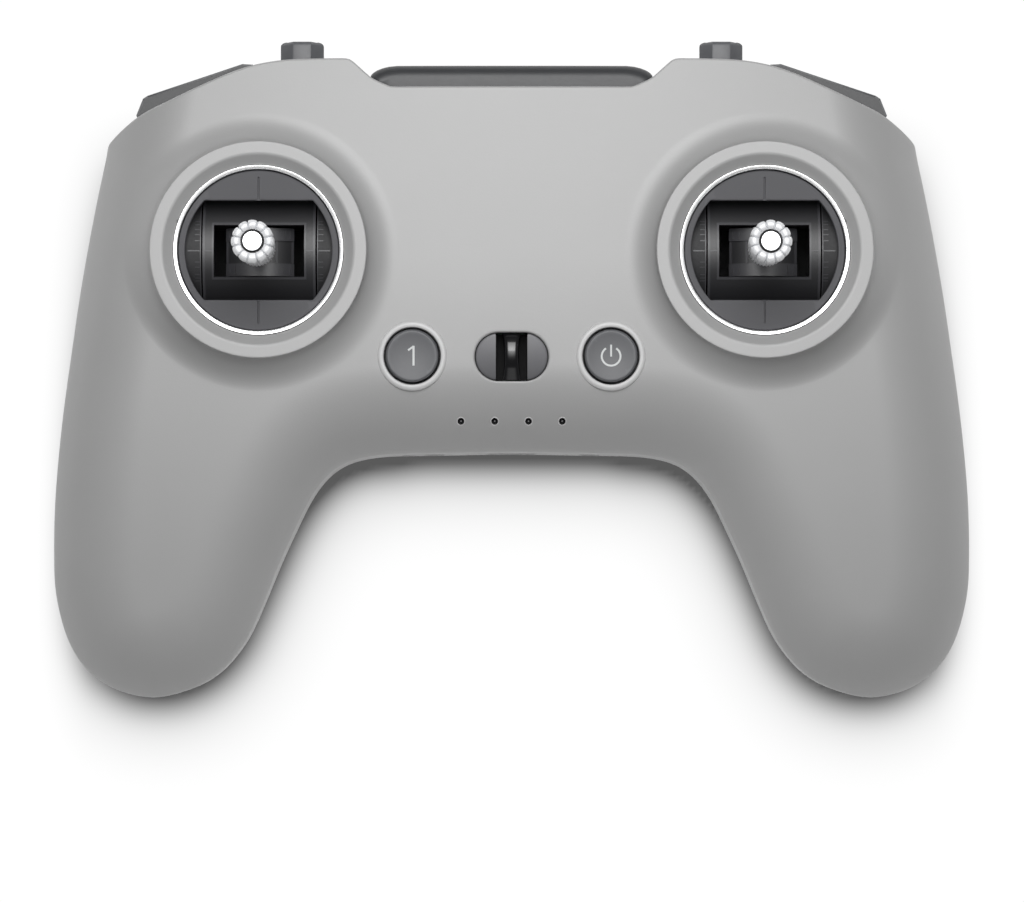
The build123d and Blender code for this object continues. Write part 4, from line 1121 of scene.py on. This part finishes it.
def key_symbol(name, cx):
    if name == "power":  # open ring with a bar
        a = np.radians(np.linspace(90 + 33, 450 - 33, 50))
        ring = np.column_stack([1.66 * np.cos(a), 1.66 * np.sin(a) - 0.1])
        bar = [(0, y) for y in np.linspace(-0.15, 1.95, 8)]
        strokes = [(ring, 0.34), (bar, 0.32)]
    else:  # figure one
        stem = [(0.25, y) for y in np.linspace(-1.75, 1.75, 12)]
        flag = [(0.27 - t * 0.98, 1.68 - t * 0.72) for t in np.linspace(0, 1, 6)]
        strokes = [(stem, 0.38), (flag, 0.34)]
    part(f"{name}_symbol", [stroke(cx, path, width) for path, width in strokes], ["glyph"],
         f"{name}_key", 30)


# ------------------------------------------------------------------ top edge parts
def toggle_lever(side, sign):
    """Toggle stub: broad crown, slanted flanks, rounded end."""
    stations = (  # y from the pivot, half width, half height
        (-2.6, 3.4, 1.9), (-2.3, 3.7, 2.5), (0, 3.85, 2.6), (6, 3.85, 2.5), (10.6, 3.85, 2.32),
        (11.6, 3.85, 2.26), (11.85, 3.78, 2.2), (12.08, 3.55, 2.1), (12.25, 3.2, 1.95),
        (12.34, 2.8, 1.8),
    )
    levels = []
    for y, w, h in stations:
        corner = np.array([(w, 0.2 * h), (w - 0.12, h - 1.75), (w - 0.35, h - 1.45),
                           (1.6, h - 0.05), (1.4, h)])
        section = np.vstack([corner, corner[::-1] * [-1, 1], -corner, corner[::-1] * [1, -1]])
        levels.append(np.column_stack([sign * TOGGLE_X + section[:, 0],
                                       np.full(len(section), TOGGLE_Y + y),
                                       TOGGLE_Z + section[:, 1]]))
    part(f"toggle_lever_{side}_v", [loft(levels)], ["toggle"], f"toggle_{side}",
         22, f"toggle_lever_{side}")


def bezel_highlight_strip(side, sign):
    """Narrow strips along the top and bottom edges of the shoulder bezel, in a lighter plastic
    than the bezel: a painted highlight on its edges.
    """
    (ox, oy), (ux, uy) = SHOULDER_ORIGIN, SHOULDER_DIR

    def place(p):
        u, n = p
        return sign * (ox + ux * u - uy * n), oy + uy * u + ux * n

    path = np.array([(-10.5, -0.68), (-9.0, 0.03), (9.0, 0.03), (9.93, -0.23), (12.03, -2.72)])
    solids = []
    for z0, z1 in ((26.75, 27.24), (12.76, 13.25)):
        for a, b in zip(path[:-1], path[1:]):
            along = b - a
            along /= np.hypot(*along)
            depth = np.array([-along[1], along[0]]) * 0.32
            loop = np.array([place(a), place(b), place(b - depth), place(a - depth)])
            shrunk = loop * 0.98 + loop.mean(0) * 0.02
            solids.append(loft([np.column_stack([p, np.full(4, z)])
                                for p, z in ((loop, z0), (loop, z1 - 0.08), (shrunk, z1))]))
    part(f"bezel_highlight_strip_{side}", solids, ["dark"], "housing", 30)


for side, sign in (("left", -1), ("right", 1)):
    for make in (trim_ring, gimbal_cover, cheek_marks, drum_lip, carrier_bands, stick_knob):
        make(side, sign * GIMBAL_X)
    for make in (key_cap, key_rim, key_symbol):
        make("custom" if sign < 0 else "power", sign * KEY_X)
    toggle_lever(side, sign)
    bezel_highlight_strip(side, sign)


# ------------------------------------------------------------------ centre parts
def lanyard_dish():
    """Two lobes falling away towards the bottom edge, with a deep slot between them, its faces
    near-black as painted shade.
    """
    def top_z(x, y):
        t = np.clip((LANYARD_Y + 4.18 - y) / 8.36, 0, 1)
        inside = -stadium_distance(x, y, DISH_W, DISH_H)
        z = (face_z(x, y) - 0.2 - 2.7 * t ** 3
             - 0.25 * np.clip((np.abs(x) - 3.0) / 3.4, 0, 1) ** 2
             - 0.35 * (1 - quarter(inside / 0.35)))
        return np.where(np.abs(x) < 2.75, 32.4, z)

    points = [stadium(DISH_W - 2 * e, DISH_H - 2 * e, 0.3) for e in (0.04, 0.1, 0.18, 0.28, 0.42)]
    wall_y = np.linspace(LANYARD_Y - 4.05, LANYARD_Y + 4.05, 28)
    for x in (-2.70, 2.70, -2.80, 2.80, -2.9, 2.9):
        points.append(np.column_stack([np.full(28, x), wall_y]))
    grid = lattice(np.linspace(-6.2, 6.2, 38), np.linspace(LANYARD_Y - 3.9, LANYARD_Y + 3.9, 25))
    points.append(grid[(stadium_distance(*grid.T, DISH_W, DISH_H) < -0.5)
                       & (np.abs(np.abs(grid[:, 0]) - 2.78) > 0.2)])
    verts, faces = plate(stadium(DISH_W, DISH_H, 0.3), [], np.vstack(points), top_z, 29.7)
    # faces in the slot take the near-black plastic: painted shade
    shaded_slot_faces = [1 if abs(np.mean([verts[i][0] for i in face])) < 2.79 else 0 for face in faces]
    part("lanyard_dish", [(verts, faces)], ["lobe", "slot_shade"], "housing", 40,
         "lanyard_insert", shaded_slot_faces)


def lanyard_bridge():
    """Arched bar across the slot, a rounded-square section that widens at both ends."""
    a = np.linspace(0, 2 * np.pi, 40, endpoint=False)
    across = np.sign(np.cos(a)) * np.abs(np.cos(a)) ** 0.55
    up = np.sign(np.sin(a)) * np.abs(np.sin(a)) ** 0.6
    crest_z, curl, half_height = 38.02, 0.105, 1.3
    levels = []
    for y in np.linspace(LANYARD_Y - 4.1, LANYARD_Y + 4.12, 34):
        dy = y - (LANYARD_Y + 0.85)
        if dy > -2.6:
            top = crest_z - curl * dy ** 2
        else:
            top = crest_z - curl * 2.6 ** 2 - 0.2 * (-2.6 - dy)
        half_width = 1.3 + 0.36 * ((y - LANYARD_Y) / 4.1) ** 2
        levels.append(np.column_stack([across * half_width, np.full(40, y),
                                       top - half_height + up * half_height]))
    part("lanyard_bridge", [loft(levels)], ["gloss"], "housing", 50,
         "lanyard_bar")


def light_pipes():
    """Domed tips on a strip."""
    dome = ((0.5, 0.5), (0.485, 0.37), (0.44, 0.25), (0.36, 0.14), (0.25, 0.06), (0.13, 0.015),
            (0.02, 0))  # radius, depth below the tip
    solids = []
    for x, y in LIGHTS:
        tip = float(front_base(x, y)[0]) - 0.3
        profile = [(0.1, 26.4), (0.5, 26.4)] + [(r, tip - depth) for r, depth in dome]
        solids.append(lathe(profile, 24, x, y))
    strip = np.array([(-10.2, -10.35), (10.2, -10.35), (10.2, -8.55), (-10.2, -8.55)])
    solids.append(pillow(strip, 26.25, 27.15, 0.15, 2))
    part("light_pipes", solids, ["pipe"], "housing", 35, "led_light_guide")


def light_lips():
    """Turned-over lip round each light hole, heights above the face; a lighter copy of the shell
    plastic paints its highlight.
    """
    profile = [(0.6, -0.4), (0.6, -0.02), (0.62, 0.03), (0.67, 0.05), (0.73, 0.03),
               (0.78, -0.03), (0.78, -0.4)]
    solids = []
    for x, y in LIGHTS:
        def follow(_, r, z, a, x=x, y=y):
            return r, z + front_base(x + r * np.cos(a), y + r * np.sin(a))
        solids.append(lathe(profile, 32, x, y, ring=True, shape=follow))
    part("light_lips", solids, ["rim"], "housing", 50)


def antenna_cover():
    """Long bar in the top notch with rounded ends and soft outer edges."""
    inner_y, half_length = 49.87, 25.15
    right = np.array([
        (21.3, 49.9), (23.0, 50.65), (24.4, 51.25), (24.95, 51.6), (25.15, 51.95), (25.1, 52.3),
        (24.7, 52.75), (24.0, 53.2), (23.0, 53.6), (21.9, 53.87), (20.5, 54.02), (15.0, 54.04),
        (8.0, 54.05),
    ])
    inner = [(x, inner_y) for x in (-10, 0, 10)]
    loop = np.vstack([right, right[::-1] * [-1, 1], inner])

    def draw_in(p, d):
        """Draw in the outward-facing side and the two ends, not the inner side."""
        return np.column_stack([p[:, 0] * (1 - d * 0.75 / half_length),
                                inner_y + (p[:, 1] - inner_y) * (1 - d / 4.2)])
    part("antenna_cover_v", [pillow(loop, 9.5, 34.5, 2.4, 9, draw_in)], ["antenna"], "housing",
         40, "antenna_cover")


lanyard_dish()
lanyard_bridge()
light_pipes()
light_lips()
antenna_cover()

# ------------------------------------------------------------------ materials of the CAD nodes
SLOT_MATS = {
    "shell_grey": "shell", "dark_plastic": "dark", "gloss_black": "gloss",
    "frame_black": "frame", "gimbal_cover_grey": "cover", "bright_trim": "trim",
    "drum_black": "drum", "steel": "steel", "magnet": "steel", "stick_metal": "stick",
    "pcb": "pcb", "toggle_grey": "toggle", "button_dark": "button", "wheel_rubber": "rubber",
    "switch_metal": "tin", "light_guide": "lens", "tin_can": "tin", "chip_black": "chip",
    "usb_metal": "steel", "battery_wrap": "wrap", "cable_black": "rubber",
}
slot_of = {s["node"]: s["material_slot"] for s in frame["record"]["subparts"]}
for name, cad_node in frame["nodes"].items():
    key = "bezel" if name.startswith("shoulder_bezel") else SLOT_MATS[slot_of[name]]
    cad_node.data.materials.clear()
    cad_node.data.materials.append(MATS[key])

# ------------------------------------------------------------------ floor
FLOOR_HALF, FLOOR_N = 150.0, 301  # half width and points per side of the fine patch
FLOOR_AXIS = np.linspace(-FLOOR_HALF, FLOOR_HALF, FLOOR_N)
WHITE = 1.02  # brightness of floor and backdrop as the camera sees them


def blurred(image, sigma, dy):
    """The footprint blurred and slid along y, both in mm."""
    cell = 2 * FLOOR_HALF / (FLOOR_N - 1)
    k = int(4 * sigma / cell) + 1
    weights = np.exp(-0.5 * (np.arange(-k, k + 1) * cell / sigma) ** 2)
    weights /= weights.sum()
    for axis in (0, 1):
        image = np.apply_along_axis(lambda row: np.convolve(row, weights, "same"), axis, image)
    at = FLOOR_AXIS - dy
    return np.stack([np.interp(at, FLOOR_AXIS, column) for column in image.T], 1)


def floor_material():
    """A glow for the camera, darkened by the painted shadow in the glow attribute; a diffuse
    surface with a faint painted glow for everything else, standing in for light bounced off a
    white table.
    """
    material, tree, shader = new_material("floor_white")
    shader.inputs["Base Color"].default_value = (0.82, 0.82, 0.82, 1)
    shader.inputs["Roughness"].default_value = 0.9
    shader.inputs["Specular IOR Level"].default_value = 0.1
    glow = node(tree, "ShaderNodeAttribute", attribute_name="glow")
    seen = node(tree, "ShaderNodeEmission")
    gain = math_node(tree, "MULTIPLY", glow.outputs["Fac"], WHITE)
    tree.links.new(gain, seen.inputs["Strength"])
    path = node(tree, "ShaderNodeLightPath")
    mix = node(tree, "ShaderNodeMixShader", links={"Fac": path.outputs["Is Camera Ray"]})
    # painted light: a faint glow from the floor onto the body, in place of light bounced off a
    # white table
    bounce = node(tree, "ShaderNodeEmission", {"Strength": 0.26})
    both = node(tree, "ShaderNodeAddShader",
                links={0: shader.outputs["BSDF"], 1: bounce.outputs["Emission"]})
    tree.links.new(both.outputs["Shader"], mix.inputs[1])
    tree.links.new(seen.outputs["Emission"], mix.inputs[2])
    tree.links.new(mix.outputs["Shader"], tree.nodes["Material Output"].inputs["Surface"])
    return material


def build_floor():
    """Fine patch carrying a painted soft shadow in its glow attribute, inside a 6 m square."""
    n = FLOOR_N
    points = lattice(FLOOR_AXIS, FLOOR_AXIS)
    x, y = (c.reshape(n, n) for c in points.T)
    # painted shadow: the footprint blurred and slid towards -Y darkens the floor's glow
    footprint = in_poly(points, RIM).astype(float).reshape(n, n)
    near = blurred(footprint, sigma=2.8, dy=-2.5)
    far = blurred(footprint, sigma=7.5, dy=-5.0)
    painted_shadow_mask = smoothstep(90, 77, np.abs(x)) * smoothstep(57, 44, y)
    glow = 1 - np.clip((0.76 * near + 0.5 * far) * painted_shadow_mask, 0, 0.9)
    verts = [(px * MM, py * MM, 0.0) for px, py in points]
    faces = [(j * n + i, j * n + i + 1, (j + 1) * n + i + 1, (j + 1) * n + i)
             for j in range(n - 1) for i in range(n - 1)]
    corner = len(verts)
    verts += [(-3, -3, 0), (3, -3, 0), (3, 3, 0), (-3, 3, 0)]
    index = np.arange(n * n).reshape(n, n)
    for k, edge in enumerate((index[0], index[:, -1], index[-1, ::-1], index[::-1, 0])):
        faces.append((corner + k, corner + (k + 1) % 4, *edge[::-1].tolist()))
    mesh = bpy.data.meshes.new("floor")
    mesh.from_pydata(verts, [], faces)
    attribute = mesh.attributes.new("glow", "FLOAT", "POINT")
    attribute.data.foreach_set("value", np.r_[glow.ravel(), np.ones(4)])
    floor = link_object("floor", mesh)
    floor.location.z = -0.00005
    mesh.materials.append(floor_material())


# ------------------------------------------------------------------ world, light, camera
def build_world():
    """One soft overhead glow on a dim ambient; the camera sees plain white."""
    glow_direction, glow_power, glow_strength, ambient = (0, 0.2, 1), 14.0, 4.4, 0.11
    world = bpy.data.worlds.new("studio")
    bpy.context.scene.world = world
    world.use_nodes = True
    tree = world.node_tree
    background = tree.nodes["Background"]
    background.inputs["Color"].default_value = (1, 1, 1, 1)
    place = node(tree, "ShaderNodeTexCoord").outputs["Generated"]
    facing = node(tree, "ShaderNodeVectorMath", links={0: place}, operation="DOT_PRODUCT")
    facing.inputs[1].default_value = Vector(glow_direction).normalized()
    strength = facing.outputs["Value"]
    for operation, operand in (("MAXIMUM", 0.0), ("POWER", glow_power),
                               ("MULTIPLY", glow_strength), ("ADD", ambient)):
        strength = math_node(tree, operation, strength, operand)
    tree.links.new(strength, background.inputs["Strength"])
    pale = node(tree, "ShaderNodeBackground", {"Color": (1, 1, 1, 1), "Strength": WHITE})
    path = node(tree, "ShaderNodeLightPath")
    mix = node(tree, "ShaderNodeMixShader", links={
        "Fac": path.outputs["Is Camera Ray"], 1: background.outputs["Background"],
        2: pale.outputs["Background"]})
    tree.links.new(mix.outputs["Shader"], tree.nodes["World Output"].inputs["Surface"])


def build_panel():
    """Soft square light above the top edge, aimed at the body."""
    light = bpy.data.lights.new("soft_panel", "AREA")
    light.shape = "SQUARE"
    light.size = 0.2
    light.energy = 0.4
    panel = link_object("soft_panel", light)
    panel.location = (0.0, 0.13, 0.32)
    aim = Vector((0, 0.02, 0.03)) - panel.location
    panel.rotation_euler = aim.to_track_quat("-Z", "Y").to_euler()
    panel.visible_camera = False


def build_camera():
    """Long lens looking almost straight down, tilted a little towards +Y."""
    data = bpy.data.cameras.new("camera")
    data.sensor_width = 36.0
    data.lens = 179.54297
    data.clip_start = 0.05
    data.clip_end = 20.0
    camera = link_object("camera", data)
    camera.location = (0.00007, -0.04485, 0.940)
    camera.rotation_euler = (0.0332223627, 0.0, 0.0)
    scene = bpy.context.scene
    scene.camera = camera
    scene.view_settings.view_transform = "Standard"
    scene.view_settings.look = "None"


build_floor()
build_world()
build_panel()
build_camera()
